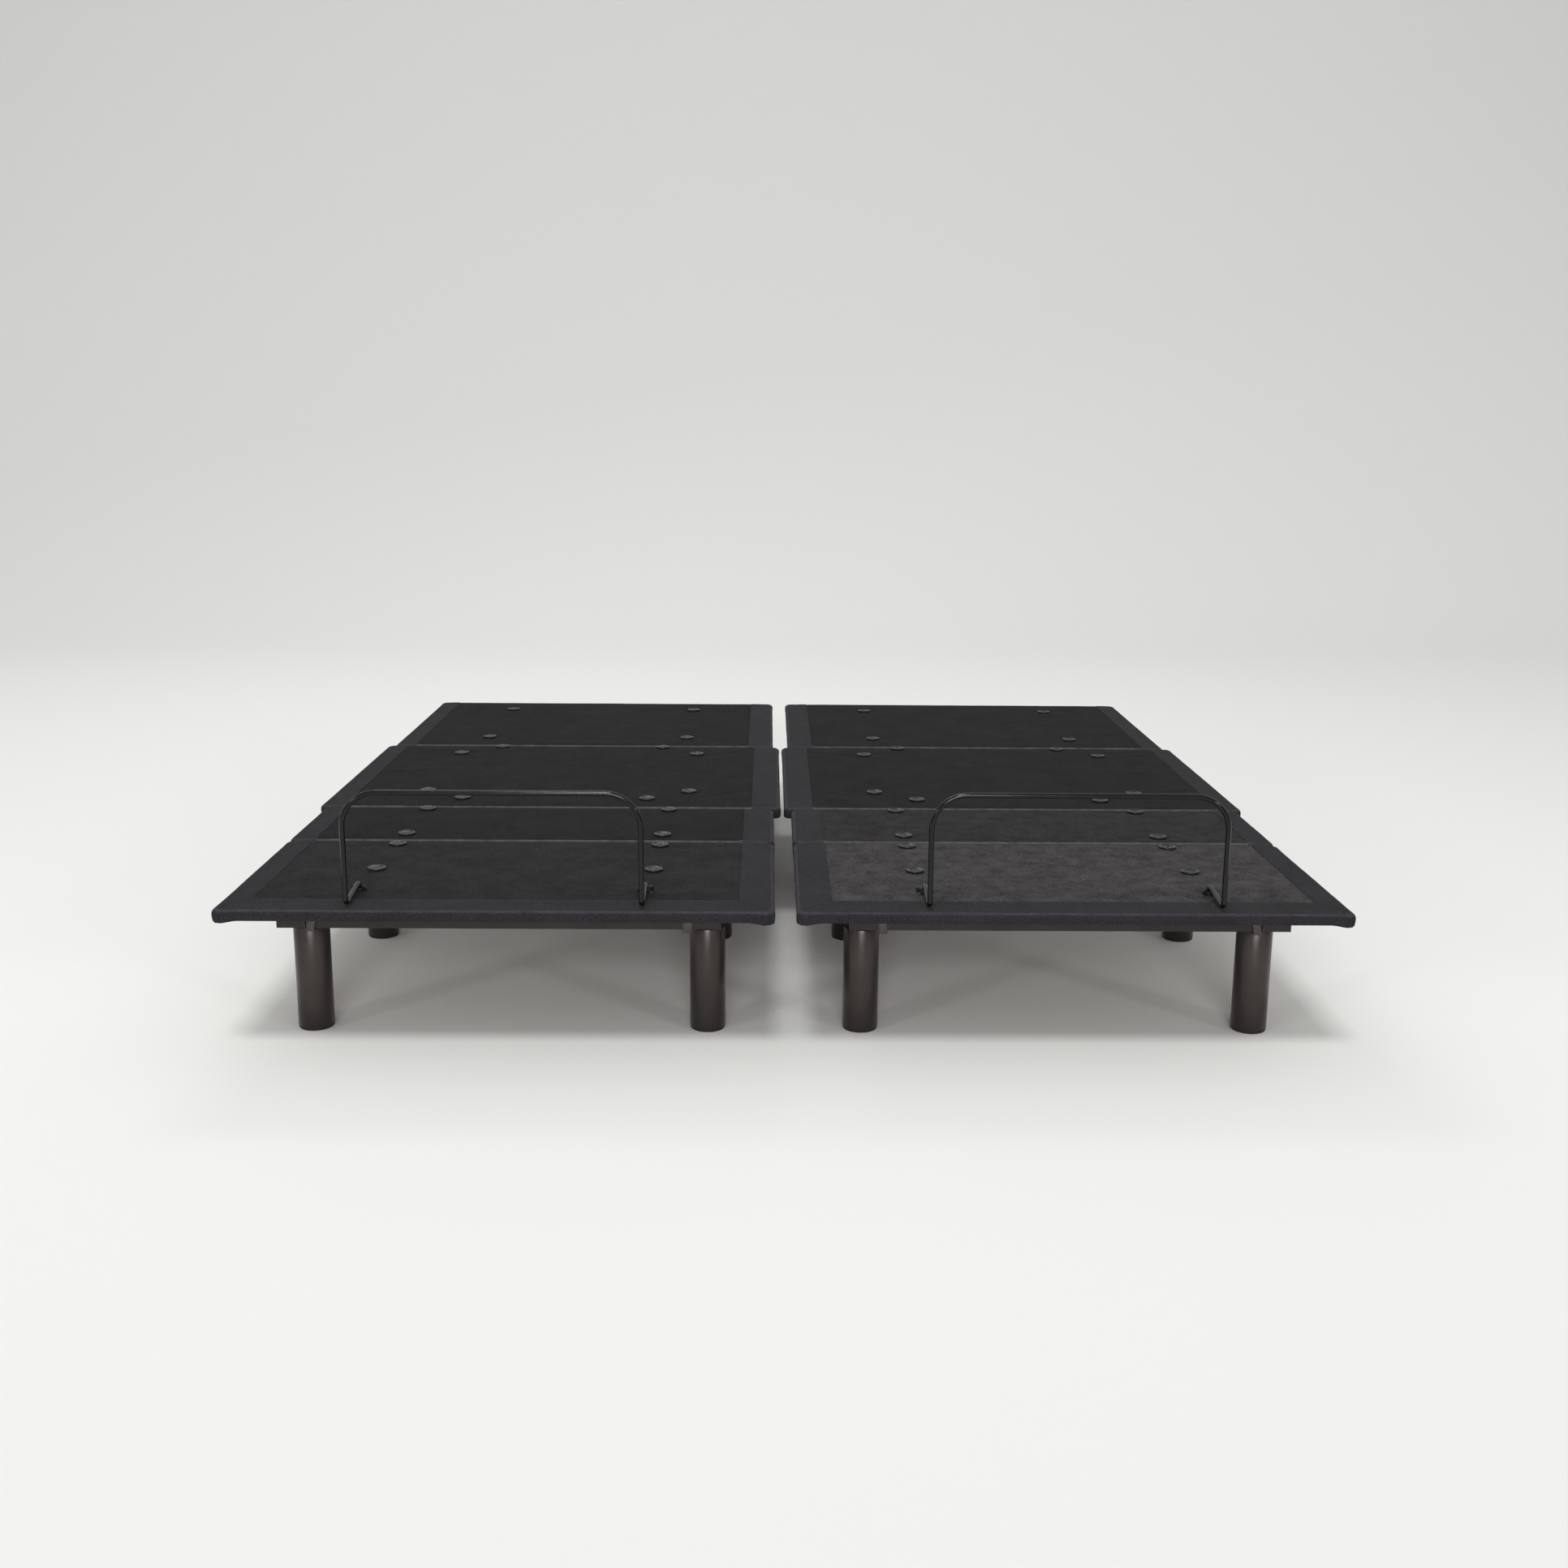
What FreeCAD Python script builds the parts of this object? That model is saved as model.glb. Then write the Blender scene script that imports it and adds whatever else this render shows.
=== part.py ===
import FreeCAD, Part
import math
import os
import re
import Sketcher

# Adjustable bed base: two identical 38 inch motorised bases stood side by side.
# Frame: origin on the floor under the middle of the pair, +X across the bed,
# +Y from the foot end to the head end, +Z up, millimetres.

doc = FreeCAD.newDocument("adjustable_bed_base")

# ---------------------------------------------------------------- sizes

SIZES = (
    # panels, seen from above
    ("foot_length", 464, "foot end to knee seam"),
    ("thigh_length", 279, "knee seam to hip seam"),
    ("seat_length", 656, "hip seam to waist seam"),
    ("head_length", 621, "waist seam to head end"),
    ("unit_width", 965, "one base across its seat panel"),
    ("panel_step", 14.5, "how much narrower each side of a moving panel is"),
    ("pair_gap", 8, "between the two seat panels"),
    ("seam_gap", 6, "between neighbouring panels"),
    ("deck_top", 267, "floor to the top of the fabric"),
    ("board_thick", 16, "plywood board"),
    ("cover_skin", 1.6, "upholstery fabric"),
    ("fabric_lip", 45, "fabric turned under a board"),
    ("edge_round", 8, "rounding of a panel's top edges"),
    ("corner_round", 18, "rounding of a panel's corners"),
    # base frame
    ("rail_inset", 132.5, "panel side to the middle of a side rail"),
    ("rail_width", 30, "side rail across"),
    ("rail_height", 28, "side rail and end rail upright"),
    ("rail_wall", 2, "wall of the rails and beams"),
    ("end_rail_depth", 25, "end rail along the bed"),
    ("end_rail_inset", 72, "panel end to the middle of an end rail"),
    ("end_rail_over", 25, "end rail past the middle of a side rail"),
    ("pad_height", 1.7, "rubber rest pad"),
    ("pad_radius", 11, "rubber rest pad"),
    ("rest_gap", 0.3, "rest pad to the panel above it"),
    ("end_cap_thick", 2, "plastic cap on an end rail"),
    ("beam_width", 40, "leg beam along the bed"),
    ("beam_height", 27, "leg beam upright"),
    ("stub_size", 60, "middle leg's bracket"),
    ("seat_beam_front", 147, "hip seam to the front seat beam"),
    ("seat_beam_rear", 104, "rear seat beam to the waist seam"),
    ("seat_strap_width", 40, "strap that carries the inner seat bolts"),
    ("seat_strap_thick", 5, "strap that carries the inner seat bolts"),
    # legs
    ("leg_radius", 31.5, "leg tube outside"),
    ("leg_wall", 2, "leg tube wall"),
    ("leg_bevel", 1, "leg tube top edge"),
    ("glide_height", 5, "plastic glide under a leg"),
    ("glide_round", 2, "rounding of a glide's foot"),
    ("leg_front", 173, "foot end to the front legs"),
    ("leg_middle", 700, "foot end to the middle legs"),
    ("leg_rear", 173, "head end to the rear legs"),
    # lifting frames under the panels
    ("tube_size", 25, "square tube of the lifting frames"),
    ("tube_wall", 1.5, "square tube of the lifting frames"),
    ("track_inset", 100, "side rail to the lifting frame's side tube"),
    ("foot_tube_start", 87, "foot end to the foot frame"),
    ("head_tube_end", 87, "head frame to the head end"),
    ("knee_end", 14, "knee hinge to the tubes it joins"),
    ("hinge_end", 15, "hip or waist hinge to the tubes it carries"),
    ("foot_cross", 140, "foot end to the foot frame's cross tube"),
    ("foot_cross_rear", 58, "foot frame's rear cross tube to the knee seam"),
    ("thigh_cross", 46, "knee seam to the thigh frame's cross tube"),
    ("head_cross", 300, "waist seam to the head frame's first cross tube"),
    ("head_cross_end", 130, "head frame's last cross tube to the head end"),
    # hinges
    ("hinge_drop", 10, "top of the fabric down to the hip and waist pins"),
    ("lug_radius", 6, "round end of a hip or waist ear"),
    ("knee_lug_radius", 8, "round end of a knee ear"),
    ("ear_thick", 4, "hinge ear"),
    ("ear_gap", 0.5, "between the two ears of a hinge"),
    ("ear_reach", 60, "ear along its tube"),
    ("pin_radius", 3.5, "hip and waist pins"),
    ("stud_radius", 4, "knee and link studs"),
    ("running_gap", 0.05, "pin to its moving hole, on the radius"),
    ("pin_head", 1.5, "how far a pin head stands out past its pin"),
    ("pin_head_thick", 3, "pin head"),
    ("slot_depth", 16, "hinge notch from a panel's edge"),
    ("slot_margin", 5.5, "hinge notch past each side of its ears"),
    # lift arms and rollers
    ("axle_offset", 35, "seat beam to the lift axle"),
    ("axle_radius", 15, "lift axle tube"),
    ("axle_wall", 2.5, "lift axle tube"),
    ("journal_radius", 8, "journal at each end of a lift axle"),
    ("journal_bore", 4, "hole through a journal"),
    ("bearing_inset", 60, "side rail to the bearing plate"),
    ("bearing_thick", 5, "bearing plate"),
    ("bearing_drop", 17, "bearing plate below the axle"),
    ("roller_radius", 18, "nylon roller"),
    ("roller_width", 20, "nylon roller"),
    ("roller_axle", 5, "roller axle radius"),
    ("track_gap", 0.4, "roller to its track at rest"),
    ("arm_offset", 18, "side tube to the lift arm"),
    ("arm_thick", 6, "lift arm"),
    ("arm_half", 11, "half the depth of a lift arm"),
    ("head_roller_reach", 220, "waist seam to the head roller"),
    ("leg_roller_reach", 130, "hip seam to the leg roller"),
    ("head_elbow_reach", 74, "lift axle to the head arm's elbow"),
    ("head_elbow_drop", 37, "lift axle down to the head arm's elbow"),
    ("leg_elbow_reach", 106, "lift axle to the leg arm's elbow"),
    ("leg_elbow_drop", 20, "lift axle down to the leg arm's elbow"),
    # cranks and actuators
    ("drive_offset", 100, "middle of a base to an actuator"),
    ("head_crank_back", 33, "head axle back to its crank pin"),
    ("head_crank_drop", 67, "head axle down to its crank pin"),
    ("leg_crank_back", 18, "leg axle back to its crank pin"),
    ("leg_crank_drop", 72, "leg axle down to its crank pin"),
    ("crank_thick", 6, "one crank plate"),
    ("crank_pin", 6, "crank pin and anchor pin radius"),
    ("crank_half", 12, "crank cheek half width at its pin"),
    ("crank_foot", 10, "crank cheek below its pin"),
    ("eye_width", 13, "eye between its two plates"),
    ("eye_radius", 17, "eye on a push rod"),
    ("eye_slack", 4.4, "free play round the crank pin"),
    ("anchor_reach", 26, "seat beam's face to the anchor pin"),
    ("anchor_thick", 5, "anchor plate"),
    ("anchor_half", 14, "half the width of an anchor plate"),
    ("gearbox_start", 19, "anchor pin to the gearbox"),
    ("gearbox_length", 128, "gearbox along the actuator"),
    ("gearbox_width", 64, "gearbox across"),
    ("gearbox_height", 56, "gearbox upright"),
    ("motor_radius", 22, "motor can"),
    ("motor_length", 104, "motor can"),
    ("sleeve_radius", 17, "actuator's outer tube"),
    ("sleeve_short", 38, "outer tube to the crank pin"),
    ("push_rod_radius", 9, "push rod"),
    ("rod_neck", 25, "crank pin to the round part of the push rod"),
    # foot links
    ("link_start", 100, "foot end to the foot link's free end"),
    ("link_length", 125, "foot link between its pins"),
    ("link_offset", 33.5, "side tube to the foot link"),
    ("link_thick", 6, "foot link"),
    ("link_half", 10, "half the depth of a foot link"),
    ("link_eye", 12, "round end of a foot link"),
    ("link_slack", 4, "free play at the link's upper end"),
    # bolt caps and their places
    ("cap_radius", 17, "domed bolt cap"),
    ("cap_height", 5, "domed bolt cap"),
    ("cap_shoulder", 14, "radius where the dome begins"),
    ("cap_shoulder_height", 3.1, "height where the dome begins"),
    ("cap_crown", 8.5, "radius near the top of the dome"),
    ("cap_crown_height", 4.5, "height near the top of the dome"),
    ("cap_edge", 1.2, "rim of a bolt cap"),
    ("cap_shank", 4, "shank under a bolt cap"),
    ("cap_slot_length", 20, "coin slot in a bolt cap"),
    ("cap_slot_width", 2.6, "coin slot in a bolt cap"),
    ("cap_slot_depth", 1.2, "coin slot in a bolt cap"),
    ("bolt_clearance", 0.5, "shank to its hole"),
    ("foot_bolt_front", 255, "foot end to the first foot bolt"),
    ("knee_bolt_foot", 34, "last foot bolt to the knee seam"),
    ("knee_bolt_thigh", 46, "knee seam to the first thigh bolt"),
    ("hip_bolt_thigh", 24, "last thigh bolt to the hip seam"),
    ("hip_bolt_seat", 77, "hip seam to the inner seat bolts"),
    ("waist_bolt_seat", 24, "inner seat bolts to the waist seam"),
    ("seat_inner_inset", 53, "side tube to the inner seat bolts"),
    ("seat_outer_over", 34, "side tube to the outer seat bolts"),
    ("waist_bolt_head", 101, "waist seam to the first head bolt"),
    ("rear_bolt_head", 120, "last head bolt to the head end"),
    # mattress retainer
    ("bar_radius", 4.5, "retainer rod"),
    ("bar_inset", 4, "side tube to the retainer's post"),
    ("bar_post", 108, "foot end to the retainer's post"),
    ("bar_front", 15, "foot end to the retainer's upright"),
    ("bar_height", 198, "top of the fabric to the middle of the top rod"),
    ("bar_post_height", 19, "top of the fabric to the post's bend"),
    ("bar_low", 7, "top of the fabric to the rod's lowest bend"),
    ("bar_bend", 9, "bends near the deck"),
    ("bar_corner", 58, "bends at the top"),
    ("nut_radius", 8, "wing nut hub"),
    ("nut_height", 9, "wing nut hub"),
    ("wing_radius", 8, "wing of a wing nut"),
    ("wing_thick", 2.6, "wing of a wing nut"),
    ("wing_out", 12, "post to the middle of a wing"),
    ("wing_rise", 8.5, "fabric to the middle of a wing"),
    # steel straps on the foot end rail
    ("strap_inset", 30, "side rail to a strap"),
    ("strap_width", 17, "strap across"),
    ("strap_thick", 2.5, "strap steel"),
    ("strap_drop", 5, "strap below the end rail"),
    ("strap_bolt", 3.5, "round head bolt on a strap"),
    # control box
    ("box_width", 120, "control box across"),
    ("box_length", 180, "control box along the bed"),
    ("box_height", 42, "control box"),
    ("box_setback", 300, "hip seam to the control box"),
    ("box_round", 4, "control box edges"),
    ("inlet_width", 34, "power inlet"),
    ("inlet_height", 24, "power inlet"),
    ("inlet_depth", 16, "power inlet"),
    ("inlet_wall", 3, "power inlet"),
    # headboard holes
    ("headboard_spacing", 600, "between the headboard bolt holes"),
    ("headboard_hole", 4.5, "headboard bolt hole radius"),
)

# Places and sizes that follow from the ones above.
DERIVED = {
    "unit_pitch": "unit_width + pair_gap",
    "panel_width": "unit_width - 2 * panel_step",
    "bed_length": "foot_length + thigh_length + seat_length + head_length",
    "front_y": "-bed_length / 2",
    "knee_y": "front_y + foot_length",
    "hip_y": "knee_y + thigh_length",
    "waist_y": "hip_y + seat_length",
    "rear_y": "waist_y + head_length",
    "board_top": "deck_top - cover_skin",
    "board_low": "board_top - board_thick",
    "deck_low": "board_low - cover_skin",
    "tube_low": "deck_low - tube_size",
    "pad_top": "deck_low - rest_gap",
    "rail_top": "pad_top - pad_height",
    "rail_low": "rail_top - rail_height",
    "beam_low": "rail_low - beam_height",
    "rail_x": "unit_width / 2 - rail_inset",
    "rail_inner": "rail_x - rail_width / 2",
    "track_x": "rail_x - track_inset",
    "tube_inner": "track_x - tube_size / 2",
    "tube_outer": "track_x + tube_size / 2",
    "moving_ear_x": "tube_outer + ear_thick / 2",
    "fixed_ear_x": "moving_ear_x + ear_thick + ear_gap",
    "hinge_z": "deck_top - hinge_drop",
    "knee_z": "tube_low + tube_size / 2",
    "beam_front_y": "hip_y + seat_beam_front",
    "beam_rear_y": "waist_y - seat_beam_rear",
    "lift_z": "tube_low - track_gap - roller_radius",
    "head_axle_y": "beam_rear_y + axle_offset",
    "leg_axle_y": "beam_front_y - axle_offset",
    "bearing_x": "rail_x - bearing_inset",
    "axle_half": "bearing_x - bearing_thick / 2 - ear_gap",
    "link_x": "track_x + link_offset",
    "link_free_y": "front_y + link_start",
    "link_pivot_y": "link_free_y + link_length",
    "front_leg_y": "front_y + leg_front",
    "middle_leg_y": "front_y + leg_middle",
    "rear_leg_y": "rear_y - leg_rear",
    "foot_rail_y": "front_y + end_rail_inset",
    "head_rail_y": "rear_y - end_rail_inset",
    "post_x": "track_x - bar_inset",
    "anchor_tube": "tube_size / 2 + anchor_reach",
}

sheet = doc.addObject("Spreadsheet::Sheet", "Sizes")
for row, (alias, number, note) in enumerate(SIZES, start=1):
    sheet.set(f"A{row}", note)
    sheet.set(f"B{row}", str(number))
    sheet.setAlias(f"B{row}", alias)
doc.recompute()
ALIASES = {alias for alias, _number, _note in SIZES}


def ex(rule):
    """Turn a rule written in plain size names into an expression on the sheet."""

    def swap(match):
        word = match.group(0)
        if word in DERIVED:
            return "(" + ex(DERIVED[word]) + ")"
        if word in ALIASES:
            return "Sizes." + word
        raise ValueError("unknown size: " + word)

    return re.sub(r"[a-z][a-z0-9_]*", swap, str(rule))


def value(rule):
    """The number, in millimetres, that a rule gives with the present sizes."""
    return float(sheet.evalExpression(ex(rule)))


# ---------------------------------------------------------------- building blocks

OVERSHOOT = 2  # how far a cutting tool stands out of what it cuts
TURN = {
    "x": FreeCAD.Rotation(FreeCAD.Vector(0, 1, 0), 90),
    "y": FreeCAD.Rotation(FreeCAD.Vector(1, 0, 0), -90),
    "z": FreeCAD.Rotation(),
}
PARTS = {}


def place(item, at):
    for axis, rule in zip("xyz", at):
        item.setExpression("Placement.Base." + axis, ex(rule))


def box(name, low, span):
    """A block from its low corner and its three sides."""
    item = doc.addObject("Part::Box", name)
    for side, rule in zip(("Length", "Width", "Height"), span):
        item.setExpression(side, ex(rule))
    place(item, low)
    return item


def block(name, centre, low_z, span):
    """A block centred on a point in plan, standing on low_z."""
    low = (f"{centre[0]} - ({span[0]}) / 2", f"{centre[1]} - ({span[1]}) / 2", low_z)
    return box(name, low, span)


def rod(name, start, radius, length, along):
    """A round bar that starts at a point and runs along +X, +Y or +Z."""
    item = doc.addObject("Part::Cylinder", name)
    item.Placement = FreeCAD.Placement(FreeCAD.Vector(), TURN[along])
    item.setExpression("Radius", ex(radius))
    item.setExpression("Height", ex(length))
    place(item, start)
    return item


def disc(name, middle, radius, thick, along="x"):
    """A round bar centred on a point, its axis along X."""
    start = list(middle)
    index = "xyz".index(along)
    start[index] = f"{middle[index]} - ({thick}) / 2"
    return rod(name, start, radius, thick, along)


def group(name, items):
    item = doc.addObject("Part::Compound", name)
    item.Links = items
    return item


def fuse(name, items):
    item = doc.addObject("Part::MultiFuse", name)
    item.Shapes = items
    return item


def cut(name, base, tools):
    item = doc.addObject("Part::Cut", name)
    item.Base = base
    item.Tool = tools[0] if len(tools) == 1 else group(name + "_tools", tools)
    return item


def tube(name, low, span, wall, along):
    """A rectangular tube, open at both ends."""
    inner_low = [f"{rule} + {wall}" for rule in low]
    inner_span = [f"{rule} - 2 * {wall}" for rule in span]
    index = "xyz".index(along)
    inner_low[index] = f"{low[index]} - {OVERSHOOT}"
    inner_span[index] = f"{span[index]} + 2 * {OVERSHOOT}"
    outer = box(name + "_outer", low, span)
    return cut(name, outer, [box(name + "_bore", inner_low, inner_span)])


def origin_plane(body, role):
    return next(item for item in body.Origin.OriginFeatures if item.Role == role)


def outline(body, name, role, points):
    """A closed sketch of straight lines, each corner held by two bound distances."""
    sketch = body.newObject("Sketcher::SketchObject", name)
    sketch.AttachmentSupport = [(origin_plane(body, role), "")]
    sketch.MapMode = "FlatFace"
    spots = [FreeCAD.Vector(value(u), value(v), 0) for u, v in points]
    count = len(spots)
    for index in range(count):
        sketch.addGeometry(Part.LineSegment(spots[index], spots[(index + 1) % count]), False)
    for index in range(count):
        sketch.addConstraint(Sketcher.Constraint("Coincident", index, 2, (index + 1) % count, 1))
    for index, (u, v) in enumerate(points):
        for kind, rule in (("DistanceX", u), ("DistanceY", v)):
            number = sketch.addConstraint(Sketcher.Constraint(kind, -1, 1, index, 1, value(rule)))
            sketch.setExpression(f"Constraints[{number}]", ex(rule))
    return sketch


def new_body(name, at):
    body = doc.addObject("PartDesign::Body", name)
    place(body, at)
    return body


def plate(name, at, points, thick):
    """A flat plate standing in the YZ plane, its outline given from the point at."""
    body = new_body(name, at)
    sketch = outline(body, name + "_outline", "YZ_Plane", points)
    pad = body.newObject("PartDesign::Pad", name + "_pad")
    pad.Profile = sketch
    pad.setExpression("Length", ex(thick))
    sketch.Visibility = False
    return body


def turned(name, at, points):
    """A piece turned about its upright axis from its half section."""
    body = new_body(name, at)
    sketch = outline(body, name + "_section", "XZ_Plane", points)
    turn = body.newObject("PartDesign::Revolution", name + "_turn")
    turn.Profile = sketch
    turn.ReferenceAxis = (sketch, ["V_Axis"])
    turn.Angle = 360
    return body


def slab(name, middle, low_z, width, length, thick, corner, edge):
    """A flat panel with rounded corners and rounded top edges."""
    body = new_body(name, (middle[0], middle[1], low_z))
    across, along = f"({width}) / 2", f"({length}) / 2"
    corners = [(f"{a}{across}", f"{b}{along}") for a, b in (("-", "-"), ("", "-"), ("", ""), ("-", ""))]
    sketch = outline(body, name + "_outline", "XY_Plane", corners)
    pad = body.newObject("PartDesign::Pad", name + "_pad")
    pad.Profile = sketch
    pad.setExpression("Length", ex(thick))
    doc.recompute()
    upright = [
        f"Edge{number}"
        for number, edge_shape in enumerate(pad.Shape.Edges, start=1)
        if abs(edge_shape.tangentAt(edge_shape.FirstParameter).z) > 0.9
    ]
    corners_cut = body.newObject("PartDesign::Fillet", name + "_corners")
    corners_cut.Base = (pad, upright)
    corners_cut.setExpression("Radius", ex(corner))
    doc.recompute()
    top_z = max(vertex.Z for vertex in corners_cut.Shape.Vertexes)
    rim = [
        f"Edge{number}"
        for number, edge_shape in enumerate(corners_cut.Shape.Edges, start=1)
        if all(abs(vertex.Z - top_z) < 1e-6 for vertex in edge_shape.Vertexes)
    ]
    edges_cut = body.newObject("PartDesign::Fillet", name + "_edges")
    edges_cut.Base = (corners_cut, rim)
    edges_cut.setExpression("Radius", ex(edge))
    return body


def keep(label, item):
    """Register a finished sub-part under the name of its file."""
    item.Label = label
    PARTS[label] = item


# ---------------------------------------------------------------- one base, in pieces

SIDES = (-1, 1)
UNITS = (("left", -1), ("right", 1))
LIFTS = {
    # part: (direction along the bed, seam it folds at)
    "head": (1, "waist_y"),
    "leg": (-1, "hip_y"),
}
DRIVES = {
    # part: (direction from anchor to crank and side of the middle, anchor pin, crank pin, height)
    "head": (1, "beam_front_y + anchor_tube", "head_axle_y - head_crank_back", "lift_z - head_crank_drop"),
    "leg": (-1, "beam_rear_y - anchor_tube", "leg_axle_y + leg_crank_back", "lift_z - leg_crank_drop"),
}


class Unit:
    """The names and the middle of one of the two bases."""

    def __init__(self, name, side):
        self.name = name
        self.x = f"({side}) * unit_pitch / 2"

    def out(self, side, distance):
        """X of a place that lies a distance out from the middle of this base."""
        return f"{self.x} + ({side}) * ({distance})"

    def label(self, text):
        return f"{self.name}_{text}"


def tag(side):
    return "a" if side < 0 else "b"


def fixed_rails(unit):
    """Side rails and end rails, welded into the base's outer frame."""
    pieces = []
    start = "foot_rail_y + end_rail_depth / 2"
    run = "head_rail_y - foot_rail_y - end_rail_depth"
    for side in SIDES:
        low = (f"{unit.out(side, 'rail_x')} - rail_width / 2", start, "rail_low")
        name = unit.label("side_rail_") + tag(side)
        pieces.append(tube(name, low, ("rail_width", run, "rail_height"), "rail_wall", "y"))
    span = ("2 * (rail_x + end_rail_over)", "end_rail_depth", "rail_height")
    for end in ("foot", "head"):
        low = (f"{unit.x} - rail_x - end_rail_over", f"{end}_rail_y - end_rail_depth / 2", "rail_low")
        rail = tube(unit.label(end + "_end_rail"), low, span, "rail_wall", "x")
        if end == "head":
            holes = []
            for side in SIDES:
                spot = (unit.out(side, "headboard_spacing / 2"), "head_rail_y", "rail_low + rail_height / 2")
                name = unit.label("headboard_hole_") + tag(side)
                holes.append(rod(name, spot, "headboard_hole", "end_rail_depth", "y"))
            rail = cut(unit.label("head_end_rail_drilled"), rail, holes)
        pieces.append(rail)
    return pieces


def rail_caps(unit):
    """Plastic caps that close the open ends of the end rails."""
    pieces = []
    for end in ("foot", "head"):
        for side in SIDES:
            middle = "rail_x + end_rail_over + end_cap_thick / 2"
            pieces.append(block(
                unit.label(f"{end}_rail_cap_") + tag(side),
                (unit.out(side, middle), f"{end}_rail_y"),
                "rail_low",
                ("end_cap_thick", "end_rail_depth", "rail_height"),
            ))
    return pieces


def cross_members(unit):
    """Leg beams, middle leg brackets, seat beams and the straps on them."""
    pieces = []
    for name, row in (("front_leg_beam", "front_leg_y"), ("rear_leg_beam", "rear_leg_y")):
        low = (f"{unit.x} - rail_x - rail_width / 2", f"{row} - beam_width / 2", "beam_low")
        span = ("2 * rail_x + rail_width", "beam_width", "beam_height")
        pieces.append(tube(unit.label(name), low, span, "rail_wall", "x"))
    for side in SIDES:
        spot = (unit.out(side, "rail_x"), "middle_leg_y")
        span = ("stub_size", "stub_size", "beam_height")
        pieces.append(block(unit.label("leg_bracket_") + tag(side), spot, "beam_low", span))
    for name, row in (("front_seat_beam", "beam_front_y"), ("rear_seat_beam", "beam_rear_y")):
        low = (f"{unit.x} - rail_inner", f"{row} - tube_size / 2", "tube_low")
        span = ("2 * rail_inner", "tube_size", "tube_size")
        pieces.append(tube(unit.label(name), low, span, "tube_wall", "x"))
    strap_z = "deck_low - seat_strap_thick"
    runs = (
        ("front", "hip_y + hip_bolt_seat - seat_strap_width / 2",
         "seat_beam_front - tube_size / 2 - hip_bolt_seat + seat_strap_width / 2"),
        ("rear", "beam_rear_y + tube_size / 2",
         "seat_beam_rear - tube_size / 2 - waist_bolt_seat + lug_radius"),
    )
    for side in SIDES:
        for name, start, run in runs:
            low_x = f"{unit.out(side, 'track_x - seat_inner_inset')} - seat_strap_width / 2"
            span = ("seat_strap_width", run, "seat_strap_thick")
            pieces.append(box(unit.label(f"{name}_seat_strap_") + tag(side), (low_x, start, strap_z), span))
    return pieces


def lug(name, middle, radius, thick, blocks, hole):
    """An ear: a round end with a hole, joined to one or more blocks."""
    solid = fuse(name + "_solid", [disc(name + "_round", middle, radius, thick)] + blocks)
    bore = disc(name + "_bore", middle, hole, f"{thick} + 2 * {OVERSHOOT}")
    return cut(name, solid, [bore])


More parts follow.
